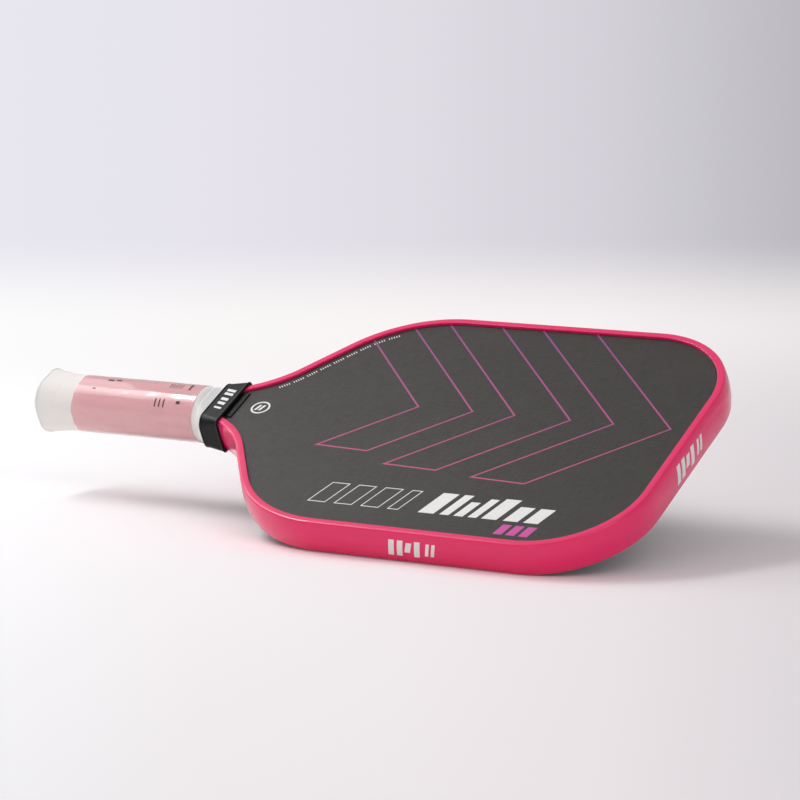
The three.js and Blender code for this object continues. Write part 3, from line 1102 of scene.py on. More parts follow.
@dataclass
class Panel:
    """The bonded panel: its packed layers, dressed in their own finishes."""

    finishes: dict[str, Finish] = field(default_factory=lambda: {
        "front_face_sheet": Finish.CARBON, "rear_face_sheet": Finish.CARBON,
        "front_scrim": Finish.SCRIM, "rear_scrim": Finish.SCRIM, "honeycomb_core": Finish.CORE,
        "front_handle_shell": Finish.SHELL, "rear_handle_shell": Finish.SHELL,
    })

    def dress(self, nodes: dict[str, bpy.types.Object]) -> None:
        """Gives each packed layer its finish.

        Args:
            nodes: the frame's nodes by name.
        """
        for name, finish in self.finishes.items():
            dress(nodes[name], finish)
            LOG.info("%s dressed as %s", name, finish.value[1].name)


@dataclass
class EdgeGuard:
    """The channel-shaped guard, swept at full fineness round the panel's edge.

    Each bar of the wall's print is its place along the wall and its width, both in millimetres,
    and its share of the full height.
    """

    outline: PanelOutline
    face_height: float = 8.0 * MM
    lip_top: float = 9.65 * MM
    lip_reach: float = 3.2 * MM
    lip_clearance: float = 0.06 * MM
    channel_gap: float = 0.3 * MM
    bulge: float = 1.25 * MM
    wall_share: float = 0.84
    sharp: float = 0.01 * MM
    lip_round: float = 0.45 * MM
    edge_round: float = 1.3 * MM
    bars: tuple[tuple[float, float, float], ...] = (
        (0.0, 3.4, 1.0), (5.2, 3.4, 1.0), (10.4, 3.4, 0.62), (15.6, 3.4, 1.0),
        (22.5, 2.0, 0.8), (26.0, 2.0, 0.8),
    )
    bar_half_height: float = 5.0 * MM
    bar_raise: float = 2.0 * MM
    bar_lean: float = 1.2 * MM
    side_place: float = 86 * MM
    tip_place: float = -16 * MM
    tip_stretch: float = 1.15
    ink: float = 0.04 * MM

    def crown(self, height: np.ndarray | float) -> np.ndarray | float:
        """How far out the wall stands at a height: its full reach less the bulge times the squared share."""
        return self.outline.guard_wall - self.bulge * (height / self.lip_top) ** 2

    def section(self) -> np.ndarray:
        """The channel's section: the upper lip and half the wall as a chain, then their mirror image.

        Returns:
            Points of outward distance and Z, clockwise from the floor's upper end to its lower end.
        """
        under = self.face_height + self.lip_clearance
        heights = np.linspace(self.wall_share, 0.0, 12) * self.lip_top
        lip = [[self.channel_gap, under], [-self.lip_reach, under], [-self.lip_reach, self.lip_top],
               [self.crown(self.lip_top), self.lip_top]]
        corners = np.concatenate([lip, np.column_stack([self.crown(heights), heights])])
        radii = np.full(len(corners) - 2, self.sharp)
        radii[1:3] = self.lip_round, self.edge_round
        steps = [1, 7, 9] + [1] * (len(radii) - 3)
        upper = rounded_chain(corners, radii, steps)
        return np.concatenate([upper, upper[-2::-1] * [1, -1]])

    def build(self) -> bpy.types.Object:
        """Sweeps the section along the panel's edge: each section point follows its own offset path.

        Returns:
            The new piece.
        """
        section = self.section()
        paths = np.stack([self.outline.path(out, 6) for out in section[:, 0]], axis=1)
        heights = np.broadcast_to(section[:, 1][None, :, None], paths.shape[:2] + (1,))
        piece = lofted_solid("guard_channel", np.concatenate([paths, heights], axis=2), 40)
        return install(piece, Finish.GUARD, "edge_guard")

    def wall_bars(self) -> bpy.types.Object:
        """Plain slanted bars on the near side wall and the tip wall.

        A bar is a grid of shares along and up; its points stand on the wall's crown plus the ink.

        Returns:
            The new piece.
        """
        prints = Patches()
        up = np.linspace(-1, 1, 7)[:, None]
        along = np.linspace(0, 1, 3)[None, :]
        side_start, side_end = self.outline.corners()[2:4]
        slope = (side_end[1] - side_start[1]) / (side_end[0] - side_start[0])
        for place, width, share in self.bars:
            run = (place + width * along) * MM + up * self.bar_lean
            z = np.broadcast_to(up * self.bar_half_height * share + (1 - share) * self.bar_raise, run.shape)
            x = side_start[0] + self.side_place + run
            near = -(side_start[1] + (x - side_start[0]) * slope) - self.crown(z)
            prints.slab(np.stack([x, near - self.ink, z], axis=2), np.stack([x, near + self.ink, z], axis=2))
            tip_y = self.tip_place + run * self.tip_stretch
            tip_x = side_end[0] + self.crown(z)
            prints.slab(np.stack([tip_x + self.ink, tip_y, z], axis=2),
                        np.stack([tip_x - self.ink, tip_y, z], axis=2))
        return install(prints.piece("guard_print"), Finish.WHITE_INK)


@dataclass
class FacePrints:
    """Plain line art, bars and ticks printed on the front face; none of it is lettering.

    The layouts and the bars' sizes are in millimetres. A chevron is its apex's X and the length
    of its near arm. An outlined bar is the X of its lower left corner and its width, a filled bar
    its X, width and height, and a ring stroke or a small bar its X. The rest of a bar's shape is
    its width, height and lean, or the last two of these.
    """

    outline: PanelOutline
    low: float = 8.004 * MM
    high: float = 8.045 * MM
    under_lip: float = 1.2 * MM
    line_width: float = 1.0 * MM
    chevrons: tuple[tuple[float, float], ...] = ((188.0, 84.0), (128.0, 78.0), (68.0, 62.0))
    apex_y: float = 14 * MM
    band: float = 34 * MM
    arm_cut: float = 2 * MM
    ring_centre: tuple[float, float] = (-60.5 * MM, 0.2 * MM)
    ring_radius: float = 5.2 * MM
    ring_line: float = 1.1 * MM
    ring_strokes: tuple[float, float] = (-63.6, -61.0)
    stroke_y: float = -2.4
    stroke_shape: tuple[float, float, float] = (1.5, 5.0, 1.6)
    tick_rows: tuple[float, float] = (8.2 * MM, 6.6 * MM)
    tick_run: tuple[float, float] = (27.0 * MM, 105.0 * MM)
    tick_step: float = 1.45 * MM
    tick_width: float = 0.55 * MM
    tick_group: int = 5
    outlined: tuple[tuple[float, float], ...] = ((13.0, 10.5), (29.5, 10.5), (46.0, 10.5), (62.5, 6.0))
    outlined_y: float = -78.0
    outlined_shape: tuple[float, float] = (17.5, 6.5)
    outlined_line: float = 0.55 * MM
    filled: tuple[tuple[float, float, float], ...] = (
        (81.0, 9.5, 18.5), (94.0, 5.5, 18.5), (102.5, 5.5, 13.0), (111.0, 5.0, 17.0),
        (119.0, 9.0, 18.5), (132.0, 8.5, 13.0), (144.0, 8.5, 13.0),
    )
    filled_y: float = -78.5
    filled_climb: float = 0.05
    filled_slant: float = 0.36
    small: tuple[float, ...] = (131.5, 139.0, 146.5)
    small_y: float = -90.0
    small_shape: tuple[float, float, float] = (5.2, 8.6, 2.4)

    def to_edge(self, start: np.ndarray, direction: np.ndarray) -> np.ndarray:
        """Where a ray from a point on the face passes under the guard's lip.

        Args:
            start: point as X and Y.
            direction: unit direction.

        Returns:
            The nearest crossing with the panel's edge moved in by a little.
        """
        path = self.outline.path(-self.under_lip)
        side = np.diff(path, axis=0)
        spread = direction[0] * side[:, 1] - direction[1] * side[:, 0]
        gap = path[:-1] - start
        along = (gap[:, 0] * side[:, 1] - gap[:, 1] * side[:, 0]) / spread
        share = (gap[:, 0] * direction[1] - gap[:, 1] * direction[0]) / spread
        hits = along[(along > 0) & (share >= 0) & (share <= 1)]
        return start + direction * hits.min()

    def line_art(self) -> bpy.types.Object:
        """Nested outlined chevrons that point to the tip, cut by the guard on the far side.

        Returns:
            The new piece.
        """
        lines = Patches()
        up = np.array([-1.0, 1.0]) / math.sqrt(2)
        down = np.array([-1.0, -1.0]) / math.sqrt(2)
        for apex_x, arm in self.chevrons:
            outer = np.array([apex_x * MM, self.apex_y])
            inner = outer - np.array([self.band, 0.0])
            chain = [self.to_edge(outer, up), outer, outer + down * arm * MM,
                     inner + down * (arm * MM - self.arm_cut), inner, self.to_edge(inner, up)]
            lines.ribbon(np.array(chain), self.line_width, self.low, self.high, False)
        return install(lines.piece("line_print"), Finish.PINK_INK)

    def ring_mark(self, marks: Patches) -> None:
        """Adds a small plain ring with two slanted strokes in it near the neck.

        Args:
            marks: the shapes to add to.
        """
        angle = np.linspace(0, 2 * math.pi, 40, endpoint=False)
        circle = np.stack([np.cos(angle), np.sin(angle)], axis=1)
        ring = np.array(self.ring_centre) + self.ring_radius * circle
        marks.ribbon(ring, self.ring_line, self.low, self.high, True)
        for x in self.ring_strokes:
            marks.plate(slanted(x, self.stroke_y, *self.stroke_shape), self.low, self.high)

    def edge_ticks(self, marks: Patches) -> None:
        """Adds a row of fine ticks that follows the far shoulder, in groups with gaps between them.

        Args:
            marks: the shapes to add to.
        """
        inner, outer = (self.outline.path(-row, 3) for row in self.tick_rows)
        length = np.concatenate([[0.0], np.cumsum(np.linalg.norm(np.diff(inner, axis=0), axis=1))])
        place = np.arange(*self.tick_run, self.tick_step)
        place = place[np.arange(len(place)) % (self.tick_group + 1) != self.tick_group]
        ends = [np.stack([np.interp(place + step, length, path[:, k]) for k in (0, 1)], axis=1)
                for path in (inner, outer) for step in (0.0, self.tick_width)]
        for near, near_next, far, far_next in zip(*ends):
            marks.plate(np.array([far, far_next, near_next, near]), self.low, self.high)

    def white_marks(self) -> bpy.types.Object:
        """Outlined bars, filled bars, the ring mark and the ticks, all in white.

        Returns:
            The new piece.
        """
        marks = Patches()
        for x, width in self.outlined:
            bar = slanted(x, self.outlined_y, width, *self.outlined_shape)
            marks.ribbon(bar, self.outlined_line, self.low, self.high, True)
        for k, (x, width, height) in enumerate(self.filled):
            y = self.filled_y + self.filled_climb * k
            bar = slanted(x, y, width, height, height * self.filled_slant)
            marks.plate(bar, self.low, self.high)
        self.ring_mark(marks)
        self.edge_ticks(marks)
        return install(marks.piece("white_print"), Finish.WHITE_INK)

    def small_bars(self) -> bpy.types.Object:
        """Three small magenta bars under the filled ones.

        Returns:
            The new piece.
        """
        marks = Patches()
        for x in self.small:
            marks.plate(slanted(x, self.small_y, *self.small_shape), self.low, self.high)
        return install(marks.piece("magenta_print"), Finish.MAGENTA_INK)


@dataclass
class ButtEnd:
    """The moulded butt cap, a cup with a round badge set in its end face.

    The badge's profile is a list of radii and depths below the butt plane, in millimetres, from
    the middle of its outer face round its rim to the middle of its back. The floor rings are the
    shares of the recess and the pocket that the middle faces of their flat floors take up.
    """

    sizes: HandleSizes
    columns: int = 128
    recess_radius: float = 11.25 * MM
    recess_depth: float = 0.6 * MM
    recess_chamfer: float = 0.12 * MM
    flange_end: float = 1.2 * MM
    flange_half: tuple[float, float] = (17.65 * MM, 16.7 * MM)
    skirt_half: tuple[float, float] = (16.0 * MM, 15.05 * MM)
    mouth_half: tuple[float, float] = (14.8 * MM, 13.85 * MM)
    pocket_half: tuple[float, float] = (14.3 * MM, 13.35 * MM)
    plate: float = 3.2 * MM
    mouth: float = 17.2 * MM
    edge_round: float = 0.45 * MM
    face_margin: float = 0.6 * MM
    floor_rings: tuple[float, float] = (0.5, 0.4)
    badge_profile: tuple[tuple[float, float], ...] = (
        (0.02, 0.10), (1.5, 0.11), (3.0, 0.16), (4.2, 0.24), (4.4, 0.10), (5.2, 0.10), (5.4, 0.26),
        (8.4, 0.26), (8.7, 0.04), (10.2, 0.02), (10.6, 0.05), (10.9, 0.12), (11.0, 0.2), (11.0, 0.5),
        (10.9, 0.55), (4.0, 0.55), (0.02, 0.55),
    )

    def circle(self, radius: float) -> np.ndarray:
        """A circle whose points go round as the sections' do."""
        angle = np.linspace(0, 2 * math.pi, self.columns, endpoint=False)
        return radius * np.stack([np.cos(angle), np.sin(angle)], axis=1)

    def section(self, half: tuple[float, float], inward: float = 0.0) -> np.ndarray:
        """An even eight-sided ring moved inwards."""
        sizes = (half[0] - inward, half[1] - inward, self.sizes.bevel)
        return even_ring(section_ring(*sizes, self.sizes.corner_radius), self.columns)

    def cap(self) -> bpy.types.Object:
        """Loft from the recess floor over the round flange edge, along the skirt and back down its pocket.

        Returns:
            The new piece.
        """
        rows = [
            (self.recess_depth, self.circle(self.recess_radius * self.floor_rings[0])),
            (self.recess_depth, self.circle(self.recess_radius)),
            (self.recess_chamfer, self.circle(self.recess_radius)),
            (0.0, self.circle(self.recess_radius + self.recess_chamfer)),
            (0.0, self.section(self.flange_half, self.edge_round + self.face_margin)),
        ]
        for angle in np.linspace(0, math.pi / 2, 8):
            inward = self.edge_round * (1 - math.sin(angle))
            rows.append((self.edge_round * (1 - math.cos(angle)), self.section(self.flange_half, inward)))
        rows += [
            (self.flange_end, self.section(self.flange_half)),
            (self.flange_end, self.section(self.skirt_half)),
            (self.mouth, self.section(self.mouth_half)),
            (self.mouth, self.section(self.pocket_half)),
            (self.plate, self.section(self.pocket_half)),
            (self.plate, self.section(self.pocket_half) * self.floor_rings[1]),
        ]
        distances, rings = zip(*rows)
        points = at_stations(x_at(np.array(distances)), np.stack(rings))
        return install(lofted_solid("butt_end_cap", points, 35), Finish.CAP, "butt_cap")

    def badge(self) -> bpy.types.Object:
        """A turned disc whose outer face carries a raised rim, a plain ring and a low dome.

        Returns:
            The new piece.
        """
        radii, depths = np.array(self.badge_profile).T * MM
        rings = np.stack([self.circle(radius) for radius in radii])
        points = at_stations(x_at(depths), rings)
        return install(lofted_solid("butt_end_badge", points, 50), Finish.CAP, "butt_badge")


@dataclass
class CushionGrip:
    """The white cushion strip wound in a spiral from the butt to under the collar."""

    sizes: HandleSizes
    start: float = 1.22 * MM
    step: float = 0.55 * MM
    columns: int = 168
    strip_pitch: float = 21 * MM
    seam_width: float = 1.3 * MM
    seam_depth: float = 0.24 * MM
    overlap_rise: float = 0.12 * MM
    roll: float = 0.14 * MM
    roll_share: float = 0.8
    seam_fade: float = 4 * MM
    inner_gap: float = 0.2 * MM
    skived_wall: float = 0.35 * MM
    skirt_end: float = 17.2 * MM
    skirt_growths: tuple[float, float] = (0.7 * MM, 1.9 * MM)
    inner_radius: float = 2 * MM

    def inner_wall(self) -> tuple[np.ndarray, np.ndarray]:
        """The wall that lies on the handle and the cap, from the grip's end back to the butt.

        Returns:
            Its distances from the butt end, and its rings of Y and Z.
        """
        sizes = self.sizes
        flat = [half - self.skived_wall for half in sizes.end_half]
        level, mouth, butt = ([half + self.inner_gap + growth for half in sizes.bare_half]
                              for growth in (0.0, *self.skirt_growths))
        rows = [
            (sizes.grip_end, flat, sizes.end_bevel),
            (sizes.collar_start, flat, sizes.end_bevel),
            (sizes.taper_start, level, sizes.bevel),
            (sizes.flare_length, level, sizes.bevel),
            (self.skirt_end, mouth, sizes.bevel),
            (self.start, butt, sizes.bevel),
        ]
        sections = [section_ring(*half, bevel, self.inner_radius) for _, half, bevel in rows]
        rings = np.stack([even_ring(section, self.columns) for section in sections])
        return np.array([row[0] for row in rows]), rings

    def build(self) -> bpy.types.Object:
        """Grip surface: the flared section, lowered along a spiral seam.

        The seam's phase is the distance over the pitch plus the turn's share. The wall dips as a
        bell curve at the seam and rises slightly over the strip's overlap beside it. The butt edge
        is rolled in by a quarter round.

        Returns:
            The new piece.
        """
        end = self.sizes.grip_end
        distance = np.append(np.arange(self.start, end, self.step), end)
        rings = self.sizes.rings(distance, 0.0, self.columns)
        place = distance[:, None]
        turn = np.linspace(0, 1, self.columns, endpoint=False)[None, :]
        phase = (place / self.strip_pitch + turn) % 1.0
        away = np.minimum(phase, 1 - phase) * self.strip_pitch
        dip = self.seam_depth * np.exp(-((away / (self.seam_width / 2)) ** 2))
        rise = self.overlap_rise * np.exp(-((phase * self.strip_pitch / (3 * self.seam_width)) ** 2))
        share = np.clip(1 - (place - self.start) / self.roll, 0, 1)
        rolled = self.roll * self.roll_share * (1 - np.sqrt(1 - share ** 2))
        fade = ease((self.sizes.collar_start - place) / self.seam_fade)
        outer = rings + ring_normals(rings) * ((rise - dip) * fade - rolled)[..., None]
        inner_at, inner = self.inner_wall()
        points = np.concatenate([at_stations(x_at(distance), outer), at_stations(x_at(inner_at), inner)])
        piece = install(lofted_tube("spiral_grip", points, 50), Finish.GRIP, "cushion_grip")
        return piece


@dataclass
class FinishingTape:
    """The white tape that holds down the end of the grip, tucked in under the collar."""

    sizes: HandleSizes
    start: float = 108.9 * MM
    under_gap: float = 0.3 * MM
    sink: float = 0.02 * MM
    thickness: float = 0.25 * MM
    edge_round: float = 0.5 * MM
    wander: float = 0.25 * MM
    wander_phase: float = 0.8
    wander_fade: float = 3 * MM
    lap: float = 0.16 * MM
    lap_turns: tuple[float, float] = (0.60, 0.86)
    lap_step: float = 0.01
    rows: int = 26
    columns: int = 160

    def build(self) -> bpy.types.Object:
        """A band along the taper whose butt edge is rounded and whose wound end steps up a little.

        The butt edge wanders as a sine wave round the turn, which fades out along the band. The
        lap is one layer more between its two places on the turn.

        Returns:
            The new piece.
        """
        distance = np.linspace(self.start, self.sizes.grip_end, self.rows)
        into = distance[:, None] - self.start
        turn = np.linspace(0, 1, self.columns, endpoint=False)[None, :]
        wander = self.wander * np.sin(2 * math.pi * turn + self.wander_phase)
        wander = wander * (1 - ease(into / self.wander_fade))
        first, last = self.lap_turns
        lap = self.lap * ease((turn - first) / self.lap_step) * ease((last - turn) / self.lap_step)
        edge = np.clip(into / self.edge_round, 0, 1)
        grow = self.under_gap + self.thickness * np.sqrt(1 - (1 - edge) ** 2) + lap * edge
        base = self.sizes.rings(distance, 0.0, self.columns)
        normals = ring_normals(base)
        x = x_at(distance)[:, None] + wander
        outer = at_stations(x, base + normals * grow[..., None])
        inner = at_stations(x, base + normals * (self.under_gap - self.sink))[::-1]
        piece = lofted_tube("end_tape", np.concatenate([outer, inner]), 55)
        return install(piece, Finish.TAPE, "finishing_tape")


@dataclass
class RubberCollar:
    """The black band stretched over the handle's end, with rolled rims.

    The inner half width and the outer corner radius are given at both ends. The spans are first
    and last shares of the length with their numbers of rings, closer together at the rims. Each
    printed bar is its Y, its length along the handle and its width, in millimetres.
    """

    sizes: HandleSizes
    inner_half: tuple[float, float] = (19.35 * MM, 20.11 * MM)
    inner_height: float = 9.98 * MM
    outer_radius: tuple[float, float] = (7.0 * MM, 3.0 * MM)
    wall: float = 0.92 * MM
    rim_rise: float = 0.3 * MM
    rim_length: float = 1.1 * MM
    end_round: float = 0.55 * MM
    spans: tuple[tuple[float, float, int], ...] = ((0.0, 0.12, 14), (0.16, 0.84, 12), (0.88, 1.0, 14))
    columns: int = 176
    bar_layout: tuple[tuple[float, float, float], ...] = (
        (9.0, 6.0, 2.2), (5.6, 6.0, 2.2), (0.6, 5.0, 2.4), (-3.4, 5.0, 2.4), (-7.4, 5.0, 1.6),
    )
    bar_lean: float = 1.0
    bar_sink: float = 0.02 * MM
    bar_rise: float = 0.05 * MM

    def length(self) -> float:
        """The collar's length along the handle."""
        return self.sizes.collar_end - self.sizes.collar_start

    def ring(self, share: float, grow: float) -> np.ndarray:
        """Round-cornered section, grown out from the collar's inner wall.

        Args:
            share: share of the collar's length from its butt end.
            grow: how far out from the inner wall.

        Returns:
            Points as n by 2, each Y and Z.
        """
        ends = (self.inner_half, self.outer_radius)
        half, radius = (first + (last - first) * share + grow for first, last in ends)
        radius -= self.wall
        height = self.inner_height + grow
        corners = np.array([[half, height], [-half, height], [-half, -height], [half, -height]])
        middle = np.array([[half, 0.0]])
        chain = rounded_chain(np.concatenate([middle, corners, middle]), np.full(4, radius), [10] * 4)
        return even_ring(chain[:-1], self.columns)

    def outward(self, share: np.ndarray) -> np.ndarray:
        """Thickness of the wall: level, swollen as a bell curve at both rims, round at both ends.

        Args:
            share: shares of the collar's length.

        Returns:
            Thicknesses in metres.
        """
        from_end = np.minimum(share, 1 - share) * self.length()
        rim = self.rim_rise * np.exp(-((2 * from_end / self.rim_length - 1) ** 2))
        into = np.clip(from_end / self.end_round, 0, 1)
        return self.wall + rim - self.end_round * (1 - np.sqrt(1 - (1 - into) ** 2))

    def build(self) -> bpy.types.Object:
        """A band through round-cornered sections whose outer wall follows the rim profile.

        Returns:
            The new piece.
        """
        share = np.concatenate([np.linspace(*span) for span in self.spans])
        outer = np.stack([self.ring(*pair) for pair in zip(share, self.outward(share))])
        back = np.linspace(1, 0, 8)
        inner = np.stack([self.ring(place, 0.0) for place in back])
        x = x_at(self.sizes.collar_start + self.length() * np.concatenate([share, back]))
        piece = lofted_tube("stretch_collar", at_stations(x, np.concatenate([outer, inner])), 60)
        return install(piece, Finish.COLLAR, "rubber_collar")

    def bars(self) -> bpy.types.Object:
        """Plain white bars across the collar's top face, each a thin plate that lies on the wall.

        Returns:
            The new piece.
        """
        marks = Patches()
        middle = x_at(self.sizes.collar_start) + self.length() / 2
        top = self.inner_height + self.wall
        for y, length, width in self.bar_layout:
            half = length / 2
            low = y - self.bar_lean
            corners = np.array([[-half, y], [half, low], [half, low + width], [-half, y + width]])
            bar = corners * MM + [middle, 0.0]
            marks.plate(bar, top - self.bar_sink, top + self.bar_rise)
        return install(marks.piece("collar_print"), Finish.WHITE_INK)


@dataclass
class FilmSleeve:
    """The thin pink film shrunk over the grip, with its lengthwise seal and small black prints.

    An edge wave is its reach in millimetres, its waves round the handle and its phase. A ripple
    is its height in millimetres, its waves round the handle, its turn in radians for each
    millimetre along the handle, and its phase.
    """

    sizes: HandleSizes
    start: float = 24 * MM
    end: float = 105.4 * MM
    gap: float = 0.2 * MM
    thickness: float = 0.12 * MM
    columns: int = 168
    rows: int = 120
    ripples: tuple[tuple[float, int, float, float], ...] = (
        (0.05, 5, 0.05, 0.0), (0.035, 9, -0.11, 1.0), (0.03, 3, 0.35, 2.0),
    )
    seal_height: float = 0.16 * MM
    seal_half: float = 0.09
    edge_waves: tuple[tuple[float, int, float], ...] = ((0.35, 2, 0.6), (0.2, 5, 0.0))
    ink_rise: float = 0.03 * MM
    ink_sink: float = 0.01 * MM

    def surface(self, distance: np.ndarray, lift: float) -> np.ndarray:
        """Film surface: the grip's section plus the gap, with shallow ripples and a seal on the rear.

        The ripples are three sine waves that run mostly lengthwise, and the seal is a bell curve
        at three quarters of the turn. The ends wander as two sine waves round the turn, which
        grow from the film's middle by the cube of the share.

        Args:
            distance: distances from the butt end.
            lift: extra height over the film.

        Returns:
            Rows by columns by 3.
        """
        base = self.sizes.rings(distance, self.gap + lift, self.columns)
        turn = np.linspace(0, 2 * math.pi, self.columns, endpoint=False)[None, :]
        along = distance[:, None] / MM
        height = self.seal_height * np.exp(-(((turn - 1.5 * math.pi) / self.seal_half) ** 2))
        for rise, count, rate, phase in self.ripples:
            height = height + rise * MM * np.sin(count * turn + rate * along + phase)
        wander = sum(reach * MM * np.sin(count * turn + phase) for reach, count, phase in self.edge_waves)
        middle = (self.start + self.end) / 2
        pull = np.abs((distance[:, None] - middle) / (self.end - middle)) ** 3
        x = x_at(distance)[:, None] - wander * pull
        return at_stations(x, base + ring_normals(base) * height[..., None])

    def build(self) -> bpy.types.Object:
        """The film as a thin closed tube.

        Returns:
            The new piece.
        """
        distance = np.linspace(self.start, self.end, self.rows)
        walls = [self.surface(distance, self.thickness), self.surface(distance, 0.0)[::-1]]
        return install(lofted_tube("shrink_film", np.concatenate(walls), 60), Finish.FILM, "film_sleeve")

    def print_places(self) -> list[tuple[float, float, float, float]]:
        """Places of the small prints: three long marks, then a block of three and a block of five with a bar.

        Returns:
            Each mark's distance from the butt in millimetres, its place on the turn, its length
            in millimetres and its width as a share of the turn.
        """
        places = [(41.5, 0.215, 3.8, 0.016), (47.0, 0.210, 3.4, 0.014), (35.5, 0.300, 2.0, 0.010)]
        places += [(80.0 + 2.8 * k, 0.355, 0.8, 0.050) for k in range(3)] + [(94.0, 0.345, 2.4, 0.018)]
        places += [(84.0 + 1.9 * k, 0.215, 0.5, 0.040) for k in range(5)] + [(97.0, 0.215, 1.4, 0.055)]
        return places

    def prints(self) -> bpy.types.Object:
        """Small black ticks and dots, each a patch of the film's own surface.

        Returns:
            The new piece.
        """
        marks = Patches()
        every = np.linspace(0, 1, self.columns, endpoint=False)
        for place, turn, length, share in self.print_places():
            distance = np.linspace(place, place + length, 3) * MM
            across = np.linspace(turn - share / 2, turn + share / 2, 6)
            grids = []
            for lift in (self.ink_rise, -self.ink_sink):
                film = self.surface(distance, self.thickness + lift)
                rows = [[np.interp(across, every, row[:, k]) for k in range(3)] for row in film]
                grids.append(np.array(rows).transpose(0, 2, 1))
            marks.slab(*grids)
        return install(marks.piece("film_print"), Finish.FILM_INK)


# ---- Studio ------------------------------------------------------------------------------


@dataclass(frozen=True)
class Softbox:
    """A rectangular lamp that faces the paddle.

    Its direction and its long side are given in the floor's frame: right of the camera, ahead of
    it, and up. The size is the short and the long side, and the power is in watts.
    """

    name: str
    towards: tuple[float, float, float]
    distance: float
    along: tuple[float, float, float]
    size: tuple[float, float]
    power: float

    def build(self, floor_frame: Matrix) -> None:
        """Adds the lamp.

        Args:
            floor_frame: matrix whose columns are the floor frame's three directions.
        """
        direction = (floor_frame @ Vector(self.towards)).normalized()
        long_side = floor_frame @ Vector(self.along)
        long_side = (long_side - direction * long_side.dot(direction)).normalized()
        data = bpy.data.lights.new(self.name, "AREA")
        data.shape = "RECTANGLE"
        data.size, data.size_y = self.size
        data.energy = self.power
        lamp = bpy.data.objects.new(self.name, data)
        lamp.matrix_world = Matrix((long_side.cross(direction), long_side, direction)).transposed().to_4x4()
        lamp.location = direction * self.distance
        bpy.context.scene.collection.objects.link(lamp)


